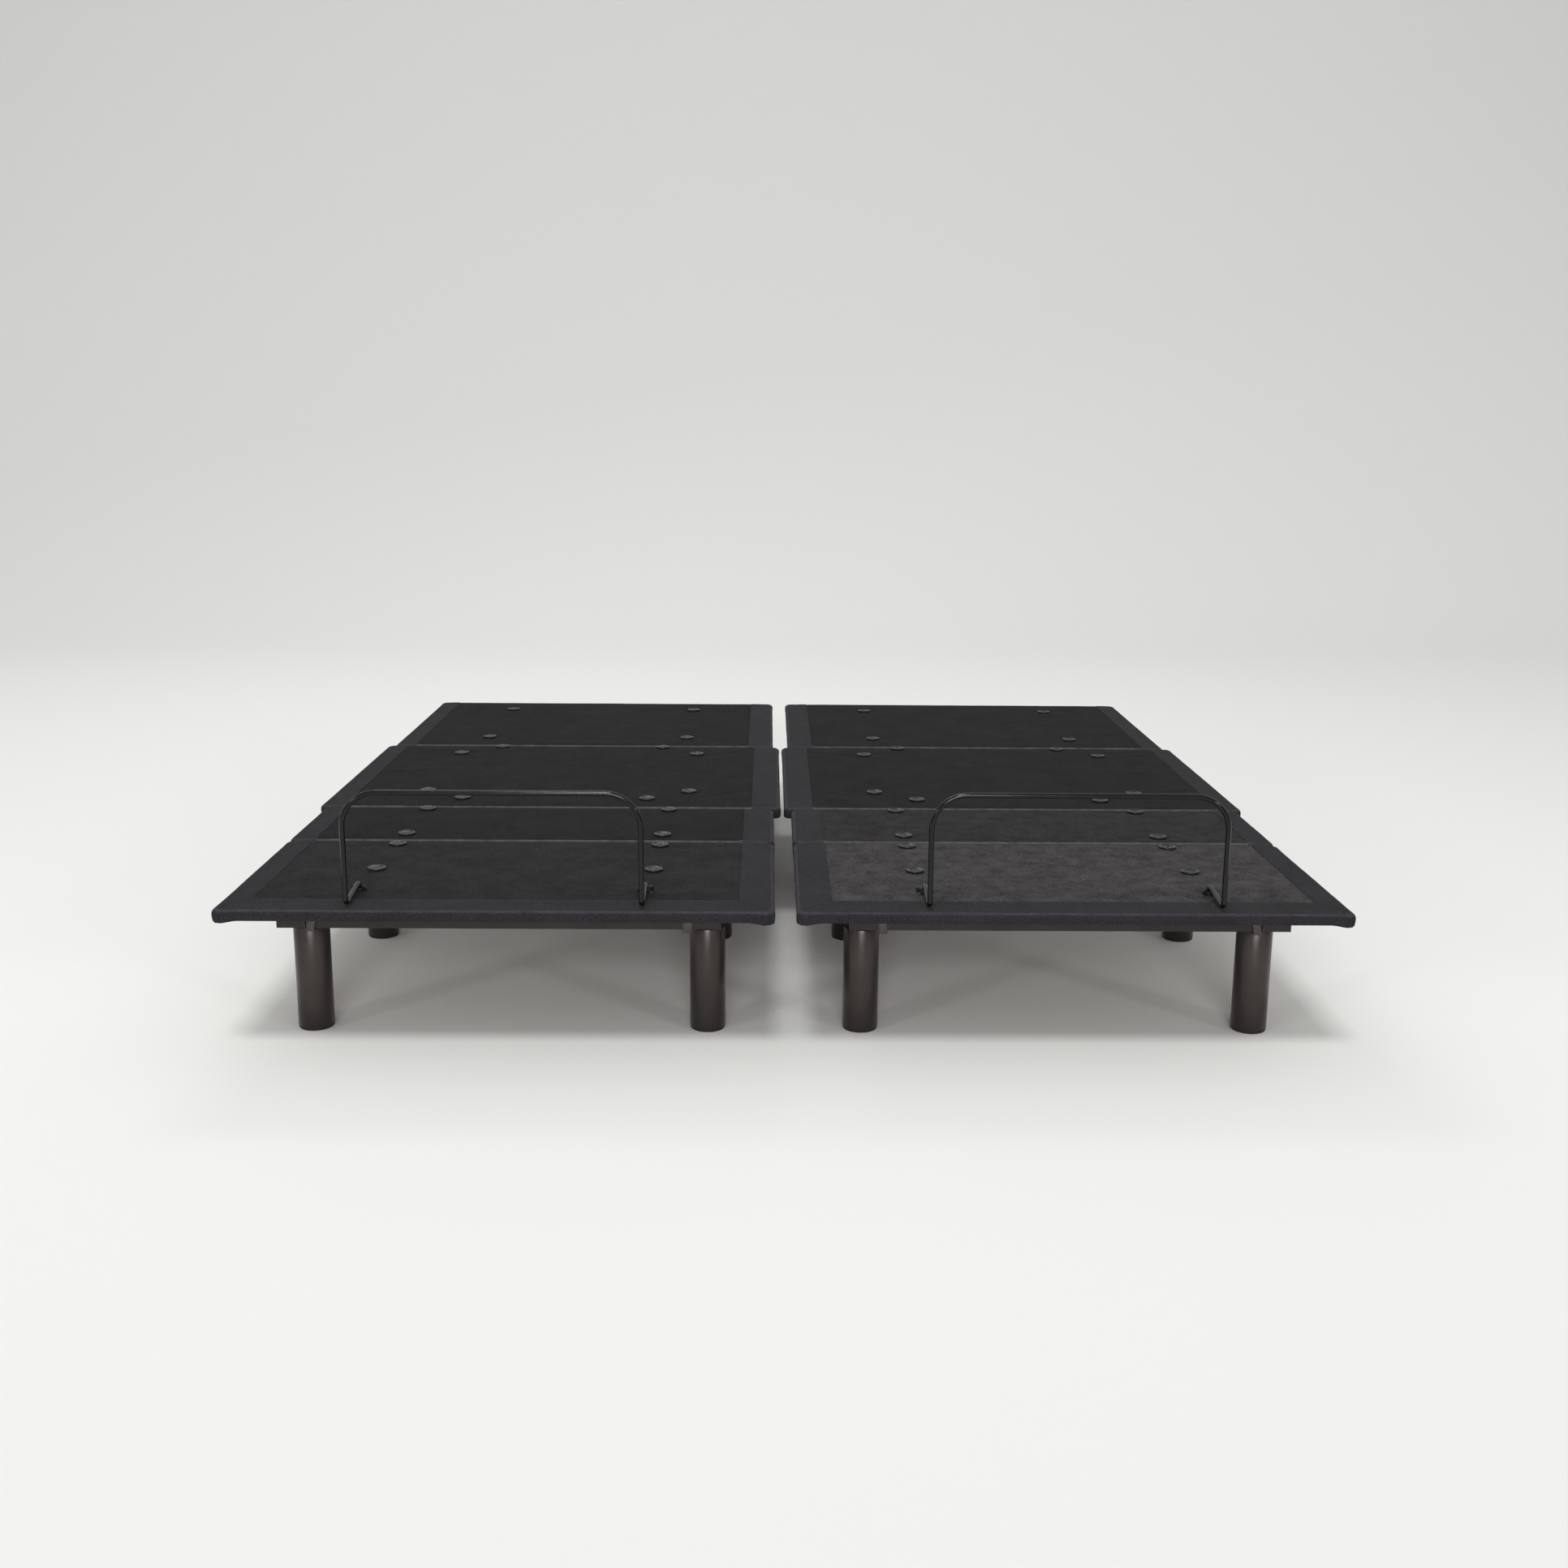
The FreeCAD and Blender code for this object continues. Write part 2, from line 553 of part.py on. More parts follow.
def pivot_brackets(unit):
    """Fixed ears, bearing plates and anchor plates on the base frame."""
    pieces = []
    for side in SIDES:
        ear_x = unit.out(side, "fixed_ear_x")
        ear_low = f"{ear_x} - ear_thick / 2"
        name = unit.label("waist_ear_") + tag(side)
        pieces.append(lug(name, (ear_x, "waist_y", "hinge_z"), "lug_radius", "ear_thick", [
            box(name + "_arm", (ear_low, "beam_rear_y + tube_size / 2", "tube_low"),
                ("ear_thick", "seat_beam_rear - tube_size / 2 + lug_radius", "tube_size")),
            box(name + "_stem", (ear_low, "waist_y - lug_radius", "tube_low"),
                ("ear_thick", "2 * lug_radius", "hinge_z - tube_low")),
        ], "pin_radius"))
        name = unit.label("hip_ear_") + tag(side)
        pieces.append(lug(name, (ear_x, "hip_y", "hinge_z"), "lug_radius", "ear_thick", [
            box(name + "_arm", (ear_low, "hip_y - lug_radius", "tube_low"),
                ("ear_thick", "seat_beam_front - tube_size / 2 + lug_radius", "tube_size")),
            box(name + "_stem", (ear_low, "hip_y - lug_radius", "tube_low"),
                ("ear_thick", "2 * lug_radius", "hinge_z - tube_low")),
        ], "pin_radius"))
        plate_x = unit.out(side, "bearing_x")
        plate_low = f"{plate_x} - bearing_thick / 2"
        drop = "bearing_drop + tube_size + track_gap + roller_radius"
        reach = "axle_offset - tube_size / 2 + axle_radius"
        for part, middle, start in (
            ("head", "head_axle_y", "beam_rear_y + tube_size / 2"),
            ("leg", "leg_axle_y", "leg_axle_y - axle_radius"),
        ):
            name = unit.label(f"{part}_bearing_") + tag(side)
            solid = box(name + "_plate", (plate_low, start, "lift_z - bearing_drop"),
                        ("bearing_thick", reach, drop))
            hole = disc(name + "_bore", (plate_x, middle, "lift_z"),
                        "journal_radius + running_gap", f"bearing_thick + 2 * {OVERSHOOT}")
            pieces.append(cut(name, solid, [hole]))
        name = unit.label("link_ear_") + tag(side)
        middle_x = unit.out(side, "link_x + link_thick / 2 + ear_gap + ear_thick / 2")
        start = "front_leg_y + beam_width / 2"
        pieces.append(lug(name, (middle_x, "link_pivot_y", "knee_z"), "link_half", "ear_thick", [
            box(name + "_stem", (f"{middle_x} - ear_thick / 2", start, "beam_low"),
                ("ear_thick", f"link_pivot_y + link_half - ({start})", "knee_z - beam_low")),
        ], "stud_radius"))
    for part, (towards, anchor, _crank, axis_z) in DRIVES.items():
        low_y = f"{anchor} - anchor_reach" if towards > 0 else f"{anchor} - anchor_half"
        for cheek in SIDES:
            offset = "(eye_width + anchor_thick) / 2 + ear_gap"
            middle_x = f"{unit.out(towards, 'drive_offset')} + ({cheek}) * ({offset})"
            name = unit.label(f"{part}_anchor_") + tag(cheek)
            solid = box(name + "_plate",
                        (f"{middle_x} - anchor_thick / 2", low_y, f"{axis_z} - anchor_half"),
                        ("anchor_thick", "anchor_reach + anchor_half",
                         f"tube_low + tube_size - tube_wall - ({axis_z}) + anchor_half"))
            hole = disc(name + "_bore", (middle_x, anchor, axis_z),
                        "crank_pin", f"anchor_thick + 2 * {OVERSHOOT}")
            pieces.append(cut(name, solid, [hole]))
    return pieces


def pin_ends(start, length, side):
    """Where a pin that runs outwards along X starts, and where its flat head starts."""
    if side > 0:
        return start, f"{start} + {length}"
    return f"{start} - ({length})", f"{start} - ({length}) - pin_head_thick"


def pivot_pins(unit):
    """Pins fixed in the base frame: waist, hip, foot link and actuator anchors."""
    pieces = []
    for side in SIDES:
        inner = unit.out(side, "tube_outer - ear_gap")
        length = "2 * ear_thick + 2 * ear_gap"
        low, head = pin_ends(inner, length, side)
        for part in ("waist", "hip"):
            name = unit.label(f"{part}_pin_") + tag(side)
            spot = (f"{part}_y", "hinge_z")
            pieces.append(fuse(name, [
                rod(name + "_shank", (low, *spot), "pin_radius", length, "x"),
                rod(name + "_head", (head, *spot), "pin_radius + pin_head", "pin_head_thick", "x"),
            ]))
        inner = unit.out(side, "link_x - link_thick / 2 - 2 * ear_gap")
        length = "link_thick + ear_thick + 3 * ear_gap"
        low, head = pin_ends(inner, length, side)
        name = unit.label("link_pin_") + tag(side)
        spot = ("link_pivot_y", "knee_z")
        pieces.append(fuse(name, [
            rod(name + "_shank", (low, *spot), "stud_radius", length, "x"),
            rod(name + "_head", (head, *spot), "stud_radius + pin_head", "pin_head_thick", "x"),
        ]))
    for part, (towards, anchor, _crank, axis_z) in DRIVES.items():
        spot = (unit.out(towards, "drive_offset"), anchor, axis_z)
        length = "eye_width + 2 * anchor_thick + 4 * ear_gap"
        pieces.append(disc(unit.label(f"{part}_anchor_pin"), spot, "crank_pin", length))
    return pieces


LEG_ROWS = ("front_leg_y", "middle_leg_y", "rear_leg_y")


def legs(unit):
    """Steel tube legs with a closed top."""
    section = (
        ("leg_radius - leg_wall", "glide_height"),
        ("leg_radius", "glide_height"),
        ("leg_radius", "beam_low - leg_bevel"),
        ("leg_radius - leg_bevel", "beam_low"),
        ("0", "beam_low"),
        ("0", "beam_low - leg_wall"),
        ("leg_radius - leg_wall", "beam_low - leg_wall"),
    )
    pieces = []
    for row in LEG_ROWS:
        for side in SIDES:
            name = unit.label(f"{row[:-2]}_") + tag(side)
            pieces.append(turned(name, (unit.out(side, "rail_x"), row, "0"), section))
    return pieces


def leg_glides(unit):
    """Plastic glides pushed into the lower ends of the legs."""
    section = (
        ("0", "0"),
        ("leg_radius - glide_round", "0"),
        ("leg_radius", "glide_round"),
        ("leg_radius", "glide_height"),
        ("leg_radius - leg_wall", "glide_height"),
        ("leg_radius - leg_wall", "3 * glide_height"),
        ("0", "3 * glide_height"),
    )
    pieces = []
    for row in LEG_ROWS:
        for side in SIDES:
            name = unit.label(f"{row[:-2]}_glide_") + tag(side)
            pieces.append(turned(name, (unit.out(side, "rail_x"), row, "0"), section))
    return pieces


def rest_pads(unit):
    """Rubber pads on the rails that the panels rest on."""
    spots = []
    for side in SIDES:
        for end in ("foot", "head"):
            spots.append((unit.out(side, "track_x / 2"), f"{end}_rail_y"))
        for row in ("knee_y - foot_length / 3", "knee_y + thigh_length / 3", "hip_y + seat_length / 3",
                    "waist_y - seat_length / 3", "waist_y + head_length / 3"):
            spots.append((unit.out(side, "rail_x"), row))
    pieces = []
    for number, (spot_x, spot_y) in enumerate(spots):
        name = unit.label(f"rest_pad_{number}")
        pieces.append(rod(name, (spot_x, spot_y, "rail_top"), "pad_radius", "pad_height", "z"))
    return pieces


def foot_straps(unit):
    """Bent steel straps round the foot end rail, each with a round head bolt."""
    pieces = []
    front = "foot_rail_y - end_rail_depth / 2 - strap_thick"
    for side in SIDES:
        name = unit.label("foot_strap_") + tag(side)
        middle = unit.out(side, "rail_x - strap_inset")
        low_x = f"{middle} - strap_width / 2"
        base_z = "rail_low - strap_drop"
        pieces.append(fuse(name, [
            box(name + "_face", (low_x, front, base_z),
                ("strap_width", "strap_thick", "rail_height + strap_drop")),
            box(name + "_sole", (low_x, front, base_z),
                ("strap_width", "end_rail_depth + 2 * strap_thick", "strap_thick")),
            box(name + "_back", (low_x, "foot_rail_y + end_rail_depth / 2", base_z),
                ("strap_width", "strap_thick", "rail_height + strap_drop")),
            rod(name + "_bolt", (middle, f"{front} - strap_thick", "rail_low + rail_height / 2"),
                "strap_bolt", "strap_thick", "y"),
        ]))
    return pieces


def control_box(unit):
    """Control box under the seat board."""
    name = unit.label("control_box")
    low_z = "board_low - box_height"
    middle = (unit.x, "hip_y + box_setback + box_length / 2")
    return slab(name, middle, low_z, "box_width", "box_length", "box_height", "box_round", "box_round / 2")


def power_inlet(unit):
    """Power inlet on the head side of the control box, its mouth towards the head."""
    name = unit.label("power_inlet")
    spot = (unit.x, "hip_y + box_setback + box_length + inlet_depth / 2")
    low_z = "board_low - box_height / 2 - inlet_height / 2"
    shell = block(name + "_shell", spot, low_z, ("inlet_width", "inlet_depth", "inlet_height"))
    mouth = box(name + "_mouth",
                (f"{unit.x} - inlet_width / 2 + inlet_wall",
                 "hip_y + box_setback + box_length + inlet_wall", f"{low_z} + inlet_wall"),
                ("inlet_width - 2 * inlet_wall", "inlet_depth", "inlet_height - 2 * inlet_wall"))
    return cut(name, shell, [mouth])


# ---------------------------------------------------------------- panels

PANELS = {
    # section: (start seam, end seam, width, seams that have ears, bolt places)
    "foot": ("front_y", "knee_y - seam_gap / 2", "panel_width", (), (
        ("track_x", "front_y + foot_bolt_front"), ("track_x", "knee_y - knee_bolt_foot"))),
    "thigh": ("knee_y + seam_gap / 2", "hip_y - seam_gap / 2", "panel_width", ("end",), (
        ("track_x", "knee_y + knee_bolt_thigh"), ("track_x", "hip_y - hip_bolt_thigh"))),
    "seat": ("hip_y + seam_gap / 2", "waist_y - seam_gap / 2", "unit_width", ("start", "end"), (
        ("track_x - seat_inner_inset", "hip_y + hip_bolt_seat"),
        ("track_x + seat_outer_over", "beam_front_y"),
        ("track_x + seat_outer_over", "beam_rear_y"),
        ("track_x - seat_inner_inset", "waist_y - waist_bolt_seat"))),
    "head": ("waist_y + seam_gap / 2", "rear_y", "panel_width", ("start",), (
        ("track_x", "waist_y + waist_bolt_head"), ("track_x", "rear_y - rear_bolt_head"))),
}


def panel_cutters(unit, section, name):
    """Hinge notches, bolt holes and, in the foot panel, the retainer's post holes."""
    start, end, _width, ears, bolts = PANELS[section]
    tools = []
    slot_span = "2 * ear_thick + ear_gap + 2 * slot_margin"
    tall = f"board_top - deck_low + {OVERSHOOT}"
    for seam in ears:
        row = f"{start} - {OVERSHOOT}" if seam == "start" else f"{end} - slot_depth"
        for side in SIDES:
            middle = unit.out(side, "tube_outer + ear_thick + ear_gap / 2")
            low = (f"{middle} - ({slot_span}) / 2", row, f"deck_low - {OVERSHOOT}")
            tools.append(box(f"{name}_{seam}_notch_{tag(side)}", low,
                             (slot_span, f"slot_depth + {OVERSHOOT}", tall)))
    deep = f"deck_top - deck_low + 2 * {OVERSHOOT}"
    for number, (out, row) in enumerate(bolts):
        for side in SIDES:
            spot = (unit.out(side, out), row, f"deck_low - {OVERSHOOT}")
            tools.append(rod(f"{name}_bolt_hole_{number}{tag(side)}", spot,
                             "cap_shank + bolt_clearance", deep, "z"))
    if section == "foot":
        for side in SIDES:
            spot = (unit.out(side, "post_x"), "front_y + bar_post", f"deck_low - {OVERSHOOT}")
            tools.append(rod(f"{name}_post_hole_{tag(side)}", spot,
                             "bar_radius + bolt_clearance", deep, "z"))
    return tools


def panel(unit, section):
    """The board of a section and the fabric cover wrapped round it."""
    start, end, width, _ears, _bolts = PANELS[section]
    name = unit.label(section)
    middle = (unit.x, f"(({start}) + ({end})) / 2")
    length = f"({end}) - ({start})"
    outer = slab(name + "_cover_block", middle, "deck_low", width, length,
                 "deck_top - deck_low", "corner_round", "edge_round")
    inner = slab(name + "_board_block", middle, "board_low", f"{width} - 2 * cover_skin",
                 f"{length} - 2 * cover_skin", "board_thick",
                 "corner_round - cover_skin", "edge_round - cover_skin")
    window = block(name + "_window", middle, f"deck_low - {OVERSHOOT}",
                   (f"{width} - 2 * fabric_lip", f"{length} - 2 * fabric_lip",
                    f"cover_skin + 2 * {OVERSHOOT}"))
    board = cut(name + "_board_cut", inner, panel_cutters(unit, section, name + "_board"))
    hollow = cut(name + "_cover_hollow", outer, [inner, window])
    cover = cut(name + "_cover_cut", hollow, panel_cutters(unit, section, name + "_cover"))
    return board, cover


def bolt_caps(unit, section):
    """Domed caps with a coin slot; each shank goes down to the steel below the board."""
    shank = "-(deck_top - deck_low)"
    section_line = (
        ("0", shank),
        ("cap_shank", shank),
        ("cap_shank", "0"),
        ("cap_radius", "0"),
        ("cap_radius", "cap_edge"),
        ("cap_shoulder", "cap_shoulder_height"),
        ("cap_crown", "cap_crown_height"),
        ("0", "cap_height"),
    )
    pieces = []
    for number, (out, row) in enumerate(PANELS[section][4]):
        for side in SIDES:
            name = unit.label(f"{section}_cap_{number}") + tag(side)
            at = (unit.out(side, out), row, "deck_top")
            solid = turned(name + "_turned", at, section_line)
            slot = block(name + "_slot", at, "deck_top + cap_height - cap_slot_depth",
                         ("cap_slot_length", "cap_slot_width", "cap_height"))
            pieces.append(cut(name, solid, [slot]))
    return pieces


# ---------------------------------------------------------------- lifting frames

def side_tubes(unit, name, start, end):
    pieces = []
    for side in SIDES:
        low = (f"{unit.out(side, 'track_x')} - tube_size / 2", start, "tube_low")
        span = ("tube_size", f"({end}) - ({start})", "tube_size")
        pieces.append(tube(unit.label(f"{name}_tube_") + tag(side), low, span, "tube_wall", "y"))
    return pieces


def cross_tube(unit, name, row):
    low = (f"{unit.x} - tube_inner", f"{row} - tube_size / 2", "tube_low")
    span = ("2 * tube_inner", "tube_size", "tube_size")
    return tube(unit.label(name), low, span, "tube_wall", "x")


def hinge_ear(unit, side, part, seam, towards):
    """The moving ear of a hip or waist hinge, on the outer face of a side tube."""
    ear_x = unit.out(side, "moving_ear_x")
    ear_low = f"{ear_x} - ear_thick / 2"
    name = unit.label(f"{part}_ear_") + tag(side)
    start = f"{seam} - lug_radius" if towards > 0 else f"{seam} - ear_reach"
    return lug(name, (ear_x, seam, "hinge_z"), "lug_radius", "ear_thick", [
        box(name + "_arm", (ear_low, start, "tube_low"),
            ("ear_thick", "ear_reach + lug_radius", "tube_size")),
        box(name + "_stem", (ear_low, f"{seam} - lug_radius", "tube_low"),
            ("ear_thick", "2 * lug_radius", "hinge_z - tube_low")),
    ], "pin_radius + running_gap")


def head_frame(unit):
    pieces = side_tubes(unit, "head", "waist_y + hinge_end", "rear_y - head_tube_end")
    pieces.append(cross_tube(unit, "head_cross_tube", "waist_y + head_cross"))
    pieces.append(cross_tube(unit, "head_end_tube", "rear_y - head_cross_end"))
    pieces += [hinge_ear(unit, side, "head", "waist_y", 1) for side in SIDES]
    return pieces


def thigh_frame(unit):
    pieces = side_tubes(unit, "thigh", "knee_y + knee_end", "hip_y - hinge_end")
    pieces.append(cross_tube(unit, "thigh_cross_tube", "knee_y + thigh_cross"))
    for side in SIDES:
        pieces.append(hinge_ear(unit, side, "thigh", "hip_y", -1))
        ear_x = unit.out(side, "moving_ear_x")
        name = unit.label("thigh_knee_ear_") + tag(side)
        arm = box(name + "_arm", (f"{ear_x} - ear_thick / 2", "knee_y", "knee_z - knee_lug_radius"),
                  ("ear_thick", "knee_end + ear_reach / 2", "2 * knee_lug_radius"))
        start = unit.out(side, "tube_outer")
        length = "2 * ear_thick + 2 * ear_gap"
        low, head = pin_ends(start, length, side)
        pieces.append(fuse(name, [
            disc(name + "_round", (ear_x, "knee_y", "knee_z"), "knee_lug_radius", "ear_thick"),
            arm,
            rod(name + "_stud", (low, "knee_y", "knee_z"), "stud_radius", length, "x"),
            rod(name + "_stud_head", (head, "knee_y", "knee_z"),
                "stud_radius + pin_head", "pin_head_thick", "x"),
        ]))
    return pieces


def foot_frame(unit):
    pieces = side_tubes(unit, "foot", "front_y + foot_tube_start", "knee_y - knee_end")
    pieces.append(cross_tube(unit, "foot_cross_tube", "front_y + foot_cross"))
    pieces.append(cross_tube(unit, "foot_rear_tube", "knee_y - foot_cross_rear"))
    for side in SIDES:
        ear_x = unit.out(side, "fixed_ear_x")
        name = unit.label("foot_knee_ear_") + tag(side)
        face = unit.out(side, "tube_outer")
        spacer_low = face if side > 0 else f"{face} - ear_thick - ear_gap"
        pieces.append(lug(name, (ear_x, "knee_y", "knee_z"), "knee_lug_radius", "ear_thick", [
            box(name + "_arm", (f"{ear_x} - ear_thick / 2", "knee_y - ear_reach", "knee_z - knee_lug_radius"),
                ("ear_thick", "ear_reach", "2 * knee_lug_radius")),
            box(name + "_spacer", (spacer_low, "knee_y - ear_reach", "knee_z - knee_lug_radius"),
                ("ear_thick + ear_gap", "ear_reach - 2 * knee_end", "2 * knee_lug_radius")),
        ], "stud_radius + running_gap"))
        length = "link_offset - tube_size / 2 + link_thick / 2 + 3 * ear_gap"
        start = face if side > 0 else f"{face} - ({length})"
        pieces.append(rod(unit.label("link_stud_") + tag(side), (start, "link_free_y", "knee_z"),
                          "stud_radius", length, "x"))
    return pieces


def retainer_bar(unit):
    """One bent rod: post, low run, upright, top rod, and the same again."""
    middle = value(unit.x)
    half = value("post_x")
    deck = value("deck_top")
    post_y = value("front_y + bar_post")
    front_y = value("front_y + bar_front")
    low_z = value("deck_low")
    bend_z = deck + value("bar_post_height")
    toe_z = deck + value("bar_low")
    top_z = deck + value("bar_height")
    corners = [
        FreeCAD.Vector(middle - half, post_y, low_z),
        FreeCAD.Vector(middle - half, post_y, bend_z),
        FreeCAD.Vector(middle - half, front_y, toe_z),
        FreeCAD.Vector(middle - half, front_y, top_z),
        FreeCAD.Vector(middle + half, front_y, top_z),
        FreeCAD.Vector(middle + half, front_y, toe_z),
        FreeCAD.Vector(middle + half, post_y, bend_z),
        FreeCAD.Vector(middle + half, post_y, low_z),
    ]
    small, large = value("bar_bend"), value("bar_corner")
    radii = [small, small, large, large, small, small]
    edges = []
    here = corners[0]
    for before, corner, after, radius in zip(corners, corners[1:], corners[2:], radii):
        back = (before - corner).normalize()
        ahead = (after - corner).normalize()
        half_turn = back.getAngle(ahead) / 2
        trim = radius / math.tan(half_turn)
        start, end = corner + back * trim, corner + ahead * trim
        inward = (back + ahead).normalize()
        crown = corner + inward * (radius / math.sin(half_turn) - radius)
        edges.append(Part.LineSegment(here, start).toShape())
        edges.append(Part.Arc(start, crown, end).toShape())
        here = end
    edges.append(Part.LineSegment(here, corners[-1]).toShape())
    path = Part.Wire(edges)
    ring = Part.Wire([Part.Circle(corners[0], FreeCAD.Vector(0, 0, 1), value("bar_radius")).toShape()])
    item = doc.addObject("Part::Feature", unit.label("retainer_rod"))
    item.Shape = path.makePipeShell([ring], True, False)
    return item


def wing_nuts(unit):
    """Wing nuts on the retainer's posts."""
    pieces = []
    for side in SIDES:
        name = unit.label("wing_nut_") + tag(side)
        spot_x = unit.out(side, "post_x")
        row = "front_y + bar_post"
        blocks = [rod(name + "_hub", (spot_x, row, "deck_top"), "nut_radius", "nut_height", "z")]
        for wing in SIDES:
            at = (f"{spot_x} + ({wing}) * wing_out", row, "deck_top + wing_rise")
            blocks.append(disc(name + "_wing_" + tag(wing), at, "wing_radius", "wing_thick", "y"))
        solid = fuse(name + "_solid", blocks)
        bore = rod(name + "_bore", (spot_x, row, f"deck_top - {OVERSHOOT}"),
                   "bar_radius", f"nut_height + wing_radius + 4 * {OVERSHOOT}", "z")
        pieces.append(cut(name, solid, [bore]))
    return pieces


# ---------------------------------------------------------------- lift arms, links, actuators

def lift_arm(unit, part):
    """Axle tube with two cranked arms, their roller axles, and the crank of the actuator."""
    towards, seam = LIFTS[part]
    axle_y = f"{part}_axle_y"
    reach = f"({towards}) * ({seam} + ({towards}) * {part}_roller_reach - {axle_y})"
    elbow, sag = f"{part}_elbow_reach", f"{part}_elbow_drop"
    name = unit.label(f"{part}_lift")
    solids = [
        disc(name + "_tube", (unit.x, axle_y, "lift_z"), "axle_radius", "2 * axle_half"),
        disc(name + "_journals", (unit.x, axle_y, "lift_z"), "journal_radius",
             "2 * (bearing_x + bearing_thick / 2 + ear_gap)"),
    ]
    for side in SIDES:
        arm_x = unit.out(side, "track_x - arm_offset")
        low_x = f"{arm_x} - arm_thick / 2"
        sign = "" if towards > 0 else "-"
        rim = (
            ("-arm_half", "0"), ("0", "arm_half"), ("arm_half", "arm_half"),
            (elbow, f"arm_half - {sag}"), (f"{reach} - arm_half", "arm_half"),
            (reach, "arm_half"), (f"{reach} + arm_half", "0"), (reach, "-arm_half"),
            (f"{elbow} + arm_half", f"-arm_half - {sag}"), (f"{elbow} - arm_half", f"-arm_half - {sag}"),
            ("0", "-axle_radius"),
        )
        points = [(f"{sign}({along})", rise) for along, rise in rim]
        solids.append(plate(name + "_arm_" + tag(side), (low_x, axle_y, "lift_z"), points, "arm_thick"))
        axle_x = low_x if side > 0 else f"{unit.out(side, 'track_x')} - roller_width / 2 - arm_thick"
        run = "arm_offset + arm_thick / 2 + roller_width / 2 + arm_thick"
        solids.append(rod(name + "_axle_" + tag(side),
                          (axle_x, f"{axle_y} + ({towards}) * ({reach})", "lift_z"), "roller_axle", run, "x"))
    drive_side, _anchor, crank_y, crank_z = DRIVES[part]
    pin_y, pin_z = f"(({crank_y}) - {axle_y})", f"(({crank_z}) - lift_z)"
    drive_x = unit.out(drive_side, "drive_offset")
    for cheek in SIDES:
        middle = f"{drive_x} + ({cheek}) * ((eye_width + crank_thick) / 2 + ear_gap)"
        low_x = f"{middle} - crank_thick / 2"
        points = (
            ("-axle_radius", "0"), (f"{pin_y} - crank_half", pin_z),
            (f"{pin_y} - crank_half / 2", f"{pin_z} - crank_foot"),
            (f"{pin_y} + crank_half / 2", f"{pin_z} - crank_foot"),
            (f"{pin_y} + crank_half", pin_z), ("axle_radius", "0"),
        )
        solids.append(plate(name + "_crank_" + tag(cheek), (low_x, axle_y, "lift_z"), points, "crank_thick"))
    solids.append(disc(name + "_crank_pin", (drive_x, crank_y, crank_z),
                       "crank_pin", "eye_width + 2 * crank_thick + 4 * ear_gap"))
    welded = fuse(name + "_welded", solids)
    hollow = disc(name + "_hollow", (unit.x, axle_y, "lift_z"), "axle_radius - axle_wall",
                  "2 * axle_half - 2 * axle_wall")
    bore = disc(name + "_bore", (unit.x, axle_y, "lift_z"), "journal_bore",
                f"2 * (bearing_x + bearing_thick) + 2 * {OVERSHOOT}")
    return cut(name, welded, [hollow, bore])


def rollers(unit, part):
    towards, seam = LIFTS[part]
    pieces = []
    for side in SIDES:
        name = unit.label(f"{part}_roller_") + tag(side)
        middle = (unit.out(side, "track_x"), f"{seam} + ({towards}) * {part}_roller_reach", "lift_z")
        wheel = disc(name + "_wheel", middle, "roller_radius", "roller_width")
        bore = disc(name + "_bore", middle, "roller_axle + running_gap", f"roller_width + 2 * {OVERSHOOT}")
        pieces.append(cut(name, wheel, [bore]))
    return pieces


def foot_links(unit):
    """Swinging links that carry the foot frame's free end."""
    pieces = []
    for side in SIDES:
        name = unit.label("foot_link_") + tag(side)
        link_x = unit.out(side, "link_x")
        free, pivot = (link_x, "link_free_y", "knee_z"), (link_x, "link_pivot_y", "knee_z")
        solid = fuse(name + "_solid", [
            disc(name + "_free_end", free, "link_eye", "link_thick"),
            disc(name + "_pivot_end", pivot, "link_half", "link_thick"),
            box(name + "_bar", (f"{link_x} - link_thick / 2", "link_free_y", "knee_z - link_half"),
                ("link_thick", "link_length", "2 * link_half")),
        ])
        wide = f"link_thick + 2 * {OVERSHOOT}"
        pieces.append(cut(name, solid, [
            disc(name + "_free_hole", free, "stud_radius + link_slack", wide),
            disc(name + "_pivot_hole", pivot, "stud_radius + running_gap", wide),
        ]))
    return pieces


def low_end(towards, anchor, start, length):
    """Lower Y of a stretch that starts a distance from the anchor, towards the crank."""
    if towards > 0:
        return f"{anchor} + {start}"
    return f"{anchor} - ({start}) - ({length})"


